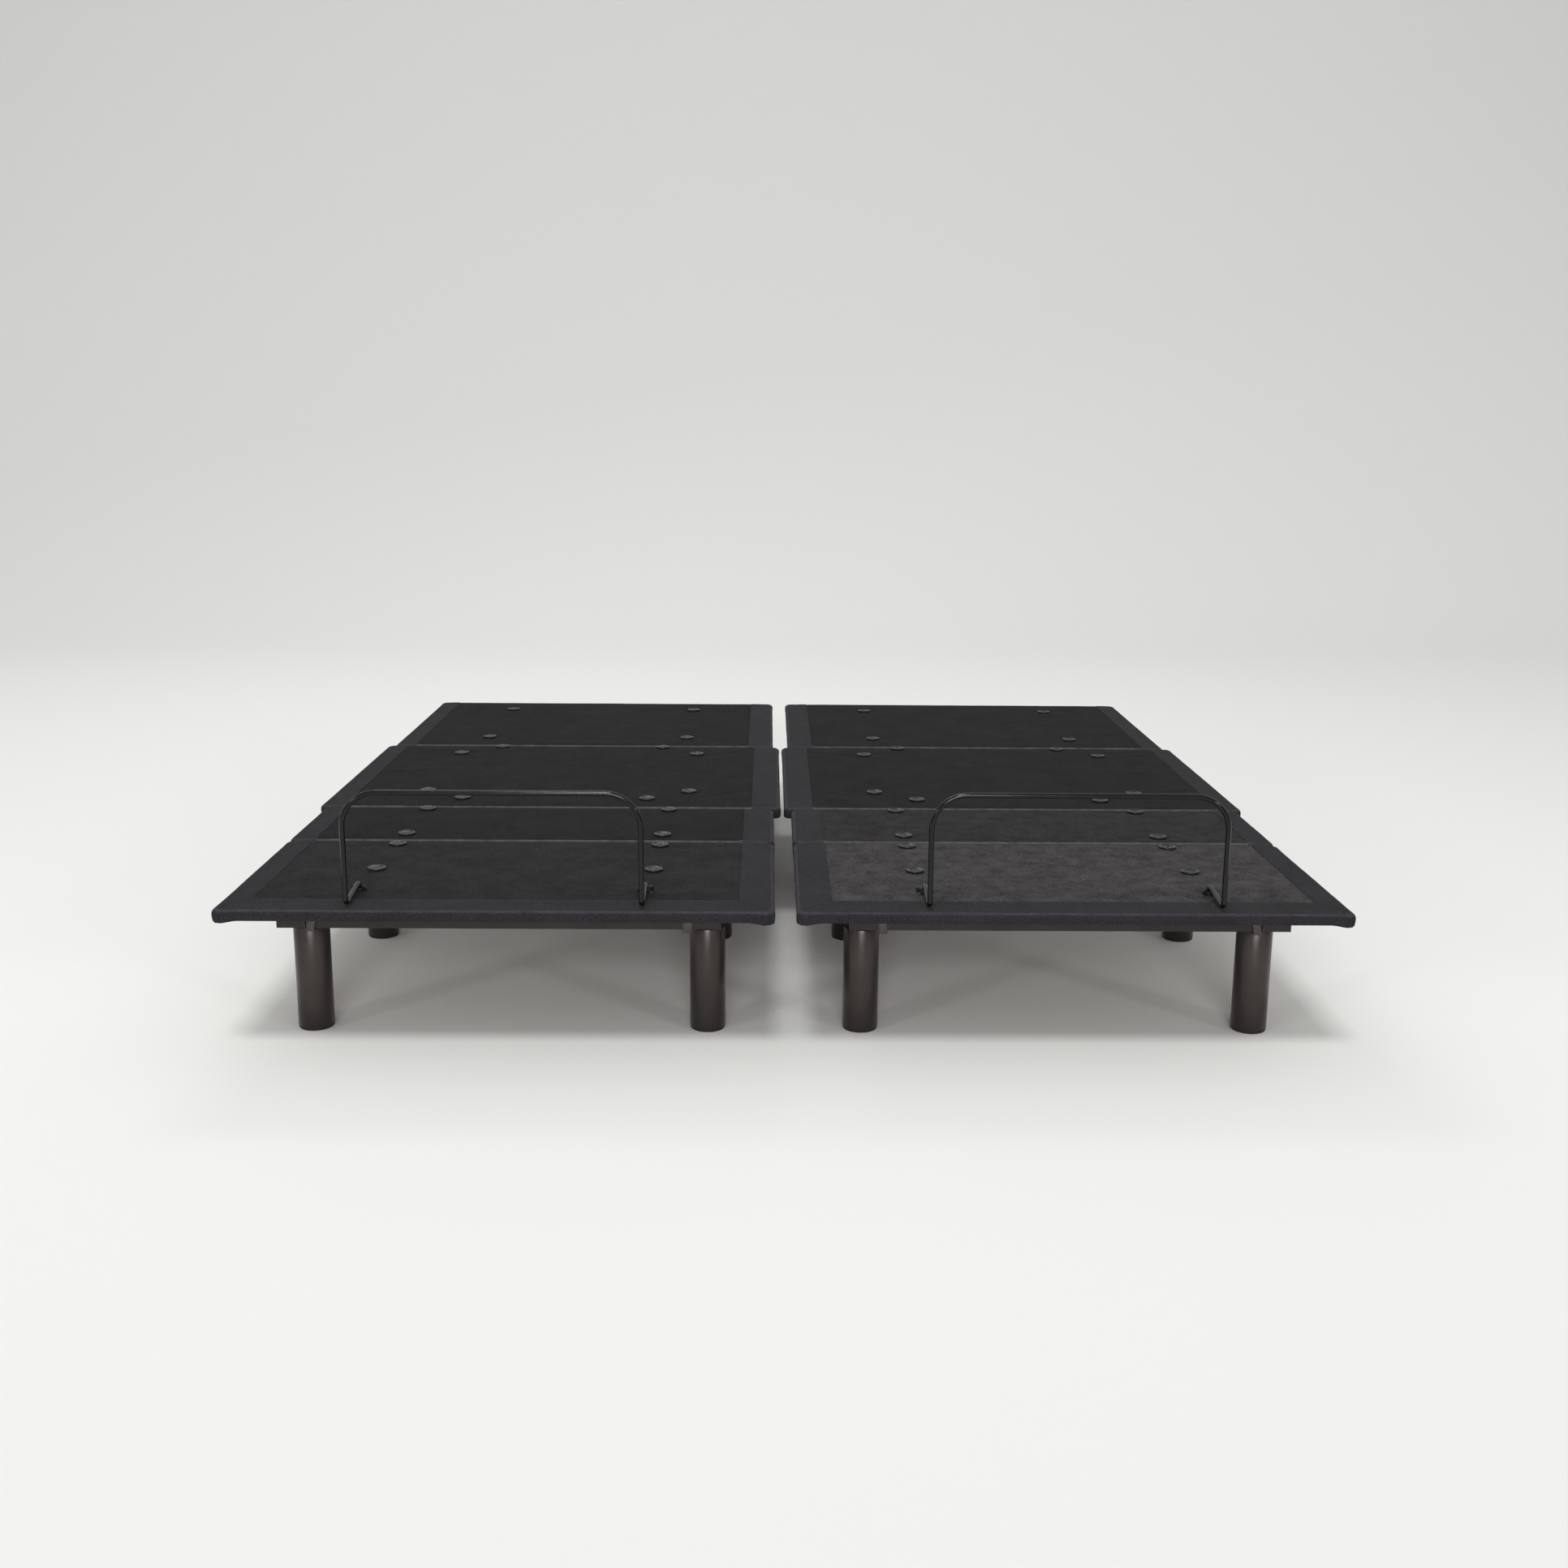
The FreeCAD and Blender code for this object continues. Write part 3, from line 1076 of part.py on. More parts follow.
def actuator(unit, part):
    """Linear actuator: rear eye, gearbox, motor can and outer tube."""
    towards, anchor, crank, axis_z = DRIVES[part]
    middle_x = unit.out(towards, "drive_offset")
    name = unit.label(f"{part}_drive")
    neck = "gearbox_start + crank_pin"
    sleeve_start = "(gearbox_start + gearbox_length)"
    sleeve_run = f"({towards}) * (({crank}) - ({anchor})) - sleeve_short - {sleeve_start}"
    motor_x = unit.out(towards, "drive_offset - gearbox_width / 2 - motor_radius / 2")
    solids = [
        disc(name + "_eye", (middle_x, anchor, axis_z), "anchor_half", "eye_width"),
        box(name + "_neck", (f"{middle_x} - eye_width / 2", low_end(towards, anchor, "0", neck),
                             f"{axis_z} - anchor_half"), ("eye_width", neck, "2 * anchor_half")),
        box(name + "_gearbox", (f"{middle_x} - gearbox_width / 2",
                                low_end(towards, anchor, "gearbox_start", "gearbox_length"),
                                f"{axis_z} - gearbox_height / 2"),
            ("gearbox_width", "gearbox_length", "gearbox_height")),
        rod(name + "_motor", (motor_x, low_end(towards, anchor, "gearbox_start", "motor_length"), axis_z),
            "motor_radius", "motor_length", "y"),
        rod(name + "_sleeve", (middle_x, low_end(towards, anchor, sleeve_start, sleeve_run), axis_z),
            "sleeve_radius", sleeve_run, "y"),
    ]
    depth = f"{sleeve_run} + gearbox_length / 2"
    bore_start = f"{sleeve_start} - gearbox_length / 2"
    bore_run = f"{depth} + {OVERSHOOT}"
    bores = [
        rod(name + "_rod_bore", (middle_x, low_end(towards, anchor, bore_start, bore_run), axis_z),
            "push_rod_radius + running_gap", bore_run, "y"),
        disc(name + "_eye_bore", (middle_x, anchor, axis_z), "crank_pin + running_gap",
             f"eye_width + 2 * {OVERSHOOT}"),
    ]
    return cut(name, fuse(name + "_solid", solids), bores)


def push_rod(unit, part):
    """Sliding rod of an actuator; its eye has free play round the crank pin."""
    towards, anchor, crank, axis_z = DRIVES[part]
    middle_x = unit.out(towards, "drive_offset")
    name = unit.label(f"{part}_rod")
    start = "gearbox_start + gearbox_length / 2 + eye_slack"
    reach = f"({towards}) * (({crank}) - ({anchor}))"
    run = f"{reach} - rod_neck - ({start})"
    solid = fuse(name + "_solid", [
        rod(name + "_shank", (middle_x, low_end(towards, anchor, start, run), axis_z),
            "push_rod_radius", run, "y"),
        box(name + "_neck", (f"{middle_x} - eye_width / 2",
                             low_end(towards, anchor, f"{reach} - rod_neck", "rod_neck"),
                             f"{axis_z} - push_rod_radius"),
            ("eye_width", "rod_neck", "2 * push_rod_radius")),
        disc(name + "_eye", (middle_x, crank, axis_z), "eye_radius", "eye_width"),
    ])
    hole = disc(name + "_hole", (middle_x, crank, axis_z), "crank_pin + eye_slack",
                f"eye_width + 2 * {OVERSHOOT}")
    return cut(name, solid, [hole])


# ---------------------------------------------------------------- assembly

def build():
    units = [Unit(name, side) for name, side in UNITS]
    shared = {
        "perimeter_rails": fixed_rails,
        "rail_end_caps": rail_caps,
        "cross_beams": cross_members,
        "pivot_brackets": pivot_brackets,
        "pivot_pins": pivot_pins,
        "legs": legs,
        "leg_glides": leg_glides,
        "rest_pads": rest_pads,
        "foot_straps": foot_straps,
    }
    for label, maker in shared.items():
        keep(label, group(label, [piece for unit in units for piece in maker(unit)]))
    keep("control_boxes", group("control_boxes", [control_box(unit) for unit in units]))
    keep("power_inlets", group("power_inlets", [power_inlet(unit) for unit in units]))

    seat_panels = [panel(unit, "seat") for unit in units]
    keep("seat_boards", group("seat_boards", [board for board, _cover in seat_panels]))
    keep("seat_covers", group("seat_covers", [cover for _board, cover in seat_panels]))
    seat_caps = [cap for unit in units for cap in bolt_caps(unit, "seat")]
    keep("seat_bolt_caps", group("seat_bolt_caps", seat_caps))

    frames = {"foot": foot_frame, "thigh": thigh_frame, "head": head_frame}
    for unit in units:
        for section, maker in frames.items():
            board, cover = panel(unit, section)
            keep(unit.label(section + "_board"), board)
            keep(unit.label(section + "_cover"), cover)
            caps = unit.label(section + "_bolt_caps")
            keep(caps, group(caps, bolt_caps(unit, section)))
            frame = unit.label(section + "_frame")
            keep(frame, group(frame, maker(unit)))
        keep(unit.label("retainer_bar"), retainer_bar(unit))
        keep(unit.label("wing_nuts"), group(unit.label("wing_nuts"), wing_nuts(unit)))
        keep(unit.label("foot_links"), group(unit.label("foot_links"), foot_links(unit)))
        for part in ("head", "leg"):
            keep(unit.label(f"{part}_lift_arm"), lift_arm(unit, part))
            wheels = unit.label(f"{part}_lift_rollers")
            keep(wheels, group(wheels, rollers(unit, part)))
            keep(unit.label(f"{part}_actuator"), actuator(unit, part))
            keep(unit.label(f"{part}_actuator_rod"), push_rod(unit, part))


def check():
    """Stop if any object failed or any sub-part has no sound shape."""
    for item in doc.Objects:
        if {"Invalid", "Error"} & set(item.State):
            raise RuntimeError(f"{item.Name} failed: {item.State}")
    for label, item in PARTS.items():
        if item.Shape.isNull() or not item.Shape.isValid() or not item.Shape.Solids:
            raise RuntimeError(f"{label} has no sound shape")


def export():
    os.makedirs("parts", exist_ok=True)
    for label, item in PARTS.items():
        item.Shape.exportStep(f"parts/{label}.step")
        print(label, len(item.Shape.Solids), "solids", round(item.Shape.Volume / 1000, 1), "cm3")


build()
doc.recompute()
check()
export()
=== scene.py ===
"""Looks of a pair of adjustable bed bases: fabric covers, fittings, finishes, stage and camera."""

import logging
import math
from collections.abc import Iterable, Sequence
from dataclasses import dataclass, field
from enum import Enum

import bmesh
import bpy
from mathutils import Matrix, Vector, noise


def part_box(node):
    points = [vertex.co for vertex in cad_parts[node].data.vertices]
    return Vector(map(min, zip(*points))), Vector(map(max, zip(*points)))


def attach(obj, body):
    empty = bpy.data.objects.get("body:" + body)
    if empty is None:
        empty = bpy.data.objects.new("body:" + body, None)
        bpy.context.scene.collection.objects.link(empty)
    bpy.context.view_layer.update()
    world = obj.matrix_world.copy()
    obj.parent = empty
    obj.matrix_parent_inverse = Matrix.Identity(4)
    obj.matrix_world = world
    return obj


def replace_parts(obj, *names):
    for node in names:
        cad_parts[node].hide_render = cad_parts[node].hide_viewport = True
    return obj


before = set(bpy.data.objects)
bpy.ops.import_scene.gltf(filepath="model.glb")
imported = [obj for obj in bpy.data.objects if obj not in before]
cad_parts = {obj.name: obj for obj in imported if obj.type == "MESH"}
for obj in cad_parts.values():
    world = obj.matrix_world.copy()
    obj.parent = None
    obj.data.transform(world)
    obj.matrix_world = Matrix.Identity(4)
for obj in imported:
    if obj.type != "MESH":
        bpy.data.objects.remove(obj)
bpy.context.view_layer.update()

LOG = logging.getLogger("bed_base")
Box = tuple[Vector, Vector]
Shade = tuple[float, float, float]
Socket = bpy.types.NodeSocket
Form = bmesh.types.BMesh
Verts = list[bmesh.types.BMVert]

MERGE = 1e-6  # vertices closer than this are one
CUT_SNAP = 2e-5  # a cut passes through vertices closer than this
WAVE_PITCH = math.pi / 10  # the wave texture repeats at this over its scale


# ---------------------------------------------------------------- names and options


class Side(Enum):
    """The two bases of the pair, by the sign of X."""

    LEFT = -1
    RIGHT = 1

    @property
    def label(self) -> str:
        """The word that starts this base's node names."""
        return self.name.lower()


class Section(Enum):
    """The four panels of a base, from the foot end."""

    FOOT = "foot"
    THIGH = "thigh"
    SEAT = "seat"
    HEAD = "head"


# ---------------------------------------------------------------- finishes


class Graph:
    """A material's node tree with short calls to add and join nodes."""

    def __init__(self, name: str) -> None:
        """Start a material with only its surface shader and output.

        Args:
            name: the material's name.
        """
        self.material = bpy.data.materials.new(name)
        self.material.use_nodes = True
        self.tree = self.material.node_tree
        self.surface = self.tree.nodes["Principled BSDF"]

    def add(self, kind: str, **settings: object) -> bpy.types.Node:
        """Add a node and set its properties and inputs.

        Args:
            kind: the node's type name without the ShaderNode prefix.
            settings: properties, or values for inputs of that name.

        Returns:
            The new node.
        """
        node = self.tree.nodes.new("ShaderNode" + kind)
        for key, value in settings.items():
            label = key.replace("_", " ").title()
            if hasattr(node, key):
                setattr(node, key, value)
            else:
                node.inputs[label].default_value = value
        return node

    def join(self, start: Socket, end: Socket) -> None:
        """Link two sockets."""
        self.tree.links.new(start, end)

    def place(self, scale: Sequence[float] = (1, 1, 1), turn: float = 0.0) -> Socket:
        """Object coordinates, stretched and turned.

        Args:
            scale: stretch along X, Y and Z.
            turn: turn about Z, in degrees.

        Returns:
            The socket that gives the coordinates.
        """
        source = self.add("TexCoord")
        mapping = self.add("Mapping")
        mapping.inputs["Scale"].default_value = scale
        mapping.inputs["Rotation"].default_value = (0, 0, math.radians(turn))
        self.join(source.outputs["Object"], mapping.inputs["Vector"])
        return mapping.outputs["Vector"]

    def noise(self, where: Socket, size: float, detail: float = 3.0, roughness: float = 0.55) -> Socket:
        """Cloudy noise.

        Args:
            where: coordinates in metres.
            size: size of one blot, in metres.
            detail: octaves.
            roughness: share of the finer octaves.

        Returns:
            The factor socket.
        """
        node = self.add("TexNoise", scale=1 / size, detail=detail, roughness=roughness)
        self.join(where, node.inputs["Vector"])
        return node.outputs["Fac"]

    def maths(self, how: str, first: object, second: object = 0.5, clamp: bool = False) -> Socket:
        """A two-input Math node.

        Args:
            how: the operation.
            first: a socket or a number.
            second: a socket or a number.
            clamp: whether to keep the result from 0 to 1.

        Returns:
            The value socket.
        """
        node = self.add("Math", operation=how, use_clamp=clamp)
        for socket, value in zip(node.inputs, (first, second)):
            if isinstance(value, Socket):
                self.join(value, socket)
            else:
                socket.default_value = value
        return node.outputs["Value"]

    def total(self, *terms: tuple[Socket, float]) -> Socket:
        """A weighted sum.

        Args:
            terms: each socket with its weight.

        Returns:
            The value socket.
        """
        parts = [self.maths("MULTIPLY", *term) if term[1] != 1 else term[0] for term in terms]
        result = parts[0]
        for part in parts[1:]:
            result = self.maths("ADD", result, part)
        return result

    def spread(self, value: Socket, low: float, high: float, start: float = 0.0, end: float = 1.0) -> Socket:
        """Map a value from one range to another.

        Args:
            value: the value.
            low: result at the start of the range.
            high: result at its end.
            start: start of the value's range.
            end: end of the value's range.

        Returns:
            The value socket.
        """
        node = self.add("MapRange", from_min=start, from_max=end, to_min=low, to_max=high)
        self.join(value, node.inputs["Value"])
        return node.outputs["Result"]

    def ramp(self, factor: Socket, stops: Sequence[tuple[float, Shade]]) -> Socket:
        """A colour ramp.

        Args:
            factor: what drives it.
            stops: place and colour of each stop, two or more.

        Returns:
            The colour socket.
        """
        node = self.add("ValToRGB")
        band = node.color_ramp.elements
        while len(band) < len(stops):
            band.new(0.5)
        for stop, (place, shade) in zip(band, stops):
            stop.position = place
            stop.color = (*shade, 1)
        self.join(factor, node.inputs["Fac"])
        return node.outputs["Color"]

    def blend(self, factor: Socket, first: Socket, shade: Shade) -> Socket:
        """Mix a colour over another by a factor.

        Args:
            factor: share of the new colour.
            first: the colour below.
            shade: the new colour.

        Returns:
            The colour socket.
        """
        node = self.add("Mix", data_type="RGBA")
        self.join(factor, node.inputs["Factor"])
        self.join(first, node.inputs[6])
        node.inputs[7].default_value = (*shade, 1)
        return node.outputs[2]

    def rubbed(self, colour: Socket, shade: Shade, share: float) -> Socket:
        """Paint a highlight: lighten a colour where the piece's own attribute marks its rolled upper edges,
        in place of light caught on the rolls.

        Args:
            colour: the colour below.
            shade: the painted highlight colour.
            share: strongest share of it.

        Returns:
            The colour socket.
        """
        # painted highlight: the edge attribute, broken up by noise, mixes the lighter colour in
        rub = self.add("Attribute", attribute_name="rub")
        patchy = self.noise(self.place(), 0.02, 3.0)
        factor = self.maths("MULTIPLY", rub.outputs["Fac"], self.maths("MULTIPLY", patchy, 2 * share, True))
        return self.blend(factor, colour, shade)

    def bump(self, height: Socket, depth: float, strength: float = 1.0) -> None:
        """Drive the surface's normal from a height.

        Args:
            height: the height factor.
            depth: height in metres at factor 1.
            strength: share of the effect.
        """
        node = self.add("Bump", distance=depth, strength=strength)
        self.join(height, node.inputs["Height"])
        self.join(node.outputs["Normal"], self.surface.inputs["Normal"])

    def paint(self, colour: Socket) -> None:
        """Give the surface its base colour."""
        self.join(colour, self.surface.inputs["Base Color"])

    def roughen(self, roughness: Socket) -> None:
        """Give the surface its roughness."""
        self.join(roughness, self.surface.inputs["Roughness"])

    def set(self, **values: object) -> None:
        """Set constants on the surface shader's own sockets."""
        for key, value in values.items():
            self.surface.inputs[key.replace("_", " ").title().replace("Ior", "IOR")].default_value = value


@dataclass(frozen=True)
class Finish:
    """What every finish shares."""

    name: str

    def make(self) -> bpy.types.Material:
        """Build the material."""
        raise NotImplementedError


@dataclass(frozen=True)
class Felt(Finish):
    """Needled felt: clouded, with short fibres, fine grain, a little lint and a painted highlight on its
    rolled edges.
    """

    dark: Shade
    light: Shade
    cloud: float = 0.05
    cloud_share: float = 0.5
    lint: Shade = (0.30, 0.29, 0.29)
    lint_cells: float = 26.0
    lint_size: float = 0.022
    lint_share: float = 0.2
    rubbed_shade: Shade = (0.105, 0.099, 0.102)

    def make(self) -> bpy.types.Material:
        """Build the material."""
        graph = Graph(self.name)
        where = graph.place()
        cloud = graph.noise(where, self.cloud, 5.0, 0.62)
        fibre_a = graph.noise(graph.place((1.0, 3.2, 1.0), 24), 0.009, 3.0, 0.6)
        fibre_b = graph.noise(graph.place((3.0, 1.0, 1.0), -17), 0.008, 3.0, 0.6)
        fibre = graph.maths("MULTIPLY", fibre_a, fibre_b)
        grain = graph.noise(where, 0.0021, 2.0, 0.7)
        fine = graph.maths("SUBTRACT", graph.total((fibre, 1), (grain, 1.1)), 0.28)
        tone = graph.total((cloud, self.cloud_share), (fine, 1 - self.cloud_share))
        colour = graph.ramp(tone, ((0.3, self.dark), (0.66, self.light)))
        cells = graph.add("TexVoronoi", scale=self.lint_cells)
        graph.join(where, cells.inputs["Vector"])
        near = graph.maths("LESS_THAN", cells.outputs["Distance"], self.lint_size)
        split = graph.add("SeparateColor")
        graph.join(cells.outputs["Color"], split.inputs["Color"])
        rare = graph.maths("GREATER_THAN", split.outputs["Red"], 1 - self.lint_share)
        colour = graph.blend(graph.maths("MULTIPLY", near, rare), colour, self.lint)
        # Painted highlight: lighter felt on the rolled upper edges, in place of light caught by the rolls
        graph.paint(graph.rubbed(colour, self.rubbed_shade, 0.6))
        graph.bump(graph.total((fibre, 1), (grain, 0.5)), 0.0008, 0.6)
        graph.set(roughness=0.95, sheen_weight=0.015, sheen_roughness=0.5, specular_ior_level=0.04)
        return graph.material


@dataclass(frozen=True)
class Twill(Finish):
    """Woven border fabric: diagonal ribs over crossing threads, along the piece's own UV map, with a painted
    highlight on its rolled edges.
    """

    warp: Shade
    weft: Shade
    rib: float = 0.0024
    thread: float = 0.0013
    rubbed_shade: Shade = (0.070, 0.066, 0.073)

    def make(self) -> bpy.types.Material:
        """Build the material."""
        graph = Graph(self.name)
        cloth = graph.add("UVMap", uv_map="cloth")
        bands = []
        for turn, pitch in ((45.0, self.rib), (0.0, self.thread), (90.0, self.thread)):
            mapping = graph.add("Mapping")
            mapping.inputs["Rotation"].default_value = (0, 0, math.radians(turn))
            graph.join(cloth.outputs["UV"], mapping.inputs["Vector"])
            wave = graph.add("TexWave", scale=WAVE_PITCH / pitch, distortion=0.6, detail=1.0)
            graph.join(mapping.outputs["Vector"], wave.inputs["Vector"])
            bands.append(wave.outputs["Fac"])
        ribs, warp, weft = bands
        weave = graph.total((ribs, 0.6), (graph.maths("MULTIPLY", warp, weft), 0.4))
        where = graph.place()
        slub = graph.noise(where, 0.0023, 3.0, 0.75)
        wide = graph.noise(where, 0.09, 4.0, 0.6)
        tone = graph.total((weave, 0.26), (slub, 0.62), (wide, 0.12))
        colour = graph.ramp(tone, ((0.36, self.warp), (0.66, self.weft)))
        # Painted highlight: lighter border on the rolled upper edges, in place of light caught by the rolls
        graph.paint(graph.rubbed(colour, self.rubbed_shade, 0.4))
        graph.bump(graph.total((weave, 1), (slub, 1)), 0.0004, 0.7)
        graph.set(roughness=0.9, sheen_weight=0.025, sheen_roughness=0.5, specular_ior_level=0.06)
        return graph.material


@dataclass(frozen=True)
class Coat(Finish):
    """Powder coat or enamel: an even colour with fine orange peel and slight wear."""

    shade: Shade
    roughness: float
    metallic: float = 0.0
    peel: float = 0.0009
    depth: float = 0.00004
    specular: float = 0.5

    def make(self) -> bpy.types.Material:
        """Build the material."""
        graph = Graph(self.name)
        where = graph.place()
        wide = graph.noise(where, 0.08, 4.0)
        fine = graph.noise(where, self.peel, 2.0)
        worn = tuple(min(1.0, part * 1.35 + 0.004) for part in self.shade)
        tone = graph.total((wide, 0.7), (fine, 0.3))
        graph.paint(graph.ramp(tone, ((0.3, self.shade), (0.75, worn))))
        graph.roughen(graph.spread(tone, self.roughness - 0.05, self.roughness + 0.07))
        graph.bump(fine, self.depth)
        graph.set(metallic=self.metallic, specular_ior_level=self.specular)
        return graph.material


@dataclass(frozen=True)
class Brushed(Finish):
    """Plain or plated steel with drawn streaks."""

    dark: Shade
    light: Shade
    roughness: float = 0.4
    stretch: Shade = (1.0, 1.0, 0.08)

    def make(self) -> bpy.types.Material:
        """Build the material."""
        graph = Graph(self.name)
        streak = graph.noise(graph.place(self.stretch), 0.0012, 3.0)
        cloud = graph.noise(graph.place(), 0.03, 4.0)
        tone = graph.total((streak, 0.5), (cloud, 0.5))
        graph.paint(graph.ramp(tone, ((0.3, self.dark), (0.7, self.light))))
        graph.roughen(graph.spread(cloud, self.roughness - 0.08, self.roughness + 0.1))
        graph.bump(streak, 0.00003)
        graph.set(metallic=1.0)
        return graph.material


@dataclass(frozen=True)
class Plywood(Finish):
    """Birch plywood: long figure on the faces and plies on the edges."""

    pale: Shade = (0.50, 0.36, 0.22)
    warm: Shade = (0.33, 0.21, 0.115)
    ply: float = 0.0028

    def make(self) -> bpy.types.Material:
        """Build the material."""
        graph = Graph(self.name)
        figure = graph.noise(graph.place((1.0, 0.06, 1.0)), 0.012, 6.0, 0.65)
        plies = graph.add("TexWave", scale=WAVE_PITCH / self.ply, bands_direction="Z", distortion=0.3)
        graph.join(graph.place(), plies.inputs["Vector"])
        tone = graph.total((figure, 0.7), (plies.outputs["Fac"], 0.3))
        graph.paint(graph.ramp(tone, ((0.3, self.warm), (0.7, self.pale))))
        graph.bump(figure, 0.0002)
        graph.set(roughness=0.66)
        return graph.material


# The foot panels and the right thigh get lighter copies of the felt, lightest at the right foot: partly the
# right base's own lighter felt, partly a painted pool of light towards the right front
FELT_PLAIN = Felt("felt_plain", (0.0060, 0.0056, 0.0059), (0.0195, 0.0180, 0.0187), 0.06, 0.42)
FELT_LEFT_FOOT = Felt("felt_left_foot", (0.0065, 0.0060, 0.0063), (0.0280, 0.0258, 0.0270), 0.05, 0.42)
FELT_RIGHT_THIGH = Felt("felt_right_thigh", (0.0080, 0.0074, 0.0078), (0.0350, 0.0325, 0.0340), 0.035, 0.48)
FELT_RIGHT_FOOT = Felt("felt_right_foot", (0.0100, 0.0093, 0.0098), (0.0680, 0.0630, 0.0660), 0.032, 0.48)
BORDER = Twill("woven_border", (0.0045, 0.0041, 0.0052), (0.0450, 0.0420, 0.0485))
LEG_COAT = Coat("bronze_black_coat", (0.054, 0.046, 0.044), 0.30, 0.9, specular=0.2)
# Painted shade: a darker copy of the bronze-black leg coat on the rails, in place of the shade under the
# panels
SHADED_RAIL_COAT = Coat("shaded_rail_coat", (0.020, 0.0165, 0.0155), 0.42, 0.3, specular=0.25)
FRAME_COAT = Coat("black_coat", (0.016, 0.015, 0.015), 0.5, 0.1, 0.0012, 0.00008, 0.3)
ENAMEL = Coat("black_enamel", (0.0020, 0.0020, 0.0020), 0.13, 0.0, 0.004, 0.00001, 0.3)
NUT_STEEL = Coat("blackened_steel", (0.045, 0.043, 0.041), 0.3, 0.8, 0.0012, 0.00002, 0.4)
CAP_PLASTIC = Coat("dished_cap", (0.0100, 0.0098, 0.0102), 0.28, 0.0, 0.0012, 0.00002, 0.2)
BLACK_PLASTIC = Coat("moulded_black", (0.010, 0.010, 0.011), 0.48, 0.0, 0.0016, 0.00008, 0.3)
RUBBER = Coat("pad_black", (0.012, 0.012, 0.012), 0.8, 0.0, 0.002, 0.0001, 0.2)
NYLON = Coat("white_nylon", (0.56, 0.55, 0.52), 0.42, 0.0, 0.002, 0.00004)
ZINC = Brushed("zinc_steel", (0.34, 0.33, 0.31), (0.52, 0.50, 0.47), 0.36)
STRAP_STEEL = Brushed("strap_steel", (0.060, 0.053, 0.050), (0.10, 0.092, 0.087), 0.5)
PUSH_STEEL = Brushed("push_rod_steel", (0.55, 0.55, 0.56), (0.72, 0.72, 0.73), 0.2, (1.0, 0.08, 1.0))
PLYWOOD = Plywood("birch_ply")
FINISHES: dict[str, bpy.types.Material] = {}


def dressed(finish: Finish) -> bpy.types.Material:
    """The material of a finish, made once.

    Args:
        finish: the finish.

    Returns:
        Its material.
    """
    if finish.name not in FINISHES:
        FINISHES[finish.name] = finish.make()
    return FINISHES[finish.name]


# ---------------------------------------------------------------- shared modelling


def solids_of(node: str) -> list[Box]:
    """Boxes of the separate solids in a CAD node.

    Args:
        node: the node's name.

    Returns:
        Lowest and highest corner of each solid, sorted by X and then Y.
    """
    form = bmesh.new()
    form.from_mesh(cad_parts[node].data)
    bmesh.ops.remove_doubles(form, verts=form.verts, dist=MERGE)
    left = set(form.verts)
    boxes = []
    while left:
        reached = [left.pop()]
        low, high = reached[0].co.copy(), reached[0].co.copy()
        while reached:
            vert = reached.pop()
            low = Vector(map(min, low, vert.co))
            high = Vector(map(max, high, vert.co))
            for edge in vert.link_edges:
                other = edge.other_vert(vert)
                if other in left:
                    left.remove(other)
                    reached.append(other)
        boxes.append((low, high))
    form.free()
    return sorted(boxes, key=lambda box: (round(box[0].x, 4), round(box[0].y, 4)))


def middle_of(box: Box, height: float = 0.0) -> Vector:
    """The middle of a box in plan, at a given height."""
    low, high = box
    return Vector(((low.x + high.x) / 2, (low.y + high.y) / 2, height))


def verts_in(geom: Iterable[object]) -> Verts:
    """The vertices among an operator's results."""
    return [item for item in geom if isinstance(item, bmesh.types.BMVert)]


def linked(name: str, data: bpy.types.ID) -> bpy.types.Object:
    """A new object in the scene, round a mesh, curve, light or camera."""
    item = bpy.data.objects.new(name, data)
    bpy.context.scene.collection.objects.link(item)
    return item


def shape_of(item: bpy.types.Object) -> bpy.types.Mesh:
    """An object's mesh with its modifiers on, at the present frame."""
    return item.evaluated_get(bpy.context.evaluated_depsgraph_get()).to_mesh()


def rotate(form: Form, degrees: float, axis: str) -> None:
    """Turn a whole bmesh about an axis through the origin."""
    turn = Matrix.Rotation(math.radians(degrees), 3, axis)
    bmesh.ops.rotate(form, cent=(0, 0, 0), matrix=turn, verts=form.verts)


def all_round(verts: Iterable[bmesh.types.BMVert]) -> set[bmesh.types.BMEdge]:
    """Every edge that meets one of the vertices."""
    return {edge for vert in verts for edge in vert.link_edges}


def on_side(node: str, side: Side) -> list[Box]:
    """The solids of a node that belong to one base."""
    return [box for box in solids_of(node) if (box[0].x + box[1].x) * side.value > 0]


def piece(name: str, form: Form, finishes: Sequence[Finish], body: str,
          sharp: float = 35.0) -> bpy.types.Object:
    """Make a shown piece from a bmesh and let it ride on a body.

    Args:
        name: the piece's name.
        form: the bmesh, which is freed.
        finishes: finishes by material index.
        body: the CAD body it rides on.
        sharp: edges steeper than this stay crisp, in degrees.

    Returns:
        The piece.
    """
    mesh = bpy.data.meshes.new(name)
    form.to_mesh(mesh)
    form.free()
    for finish in finishes:
        mesh.materials.append(dressed(finish))
    mesh.shade_smooth()
    mesh.set_sharp_from_angle(angle=math.radians(sharp))
    item = linked(name, mesh)
    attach(item, body)
    LOG.info("%s: %d faces on %s", name, len(mesh.polygons), body)
    return item


def bevel(form: Form, edges: Iterable[bmesh.types.BMEdge], width: float, segments: int) -> None:
    """Round edges evenly."""
    bmesh.ops.bevel(form, geom=list(edges), offset=width, segments=segments, profile=0.5,
                    affect="EDGES", material=-1)


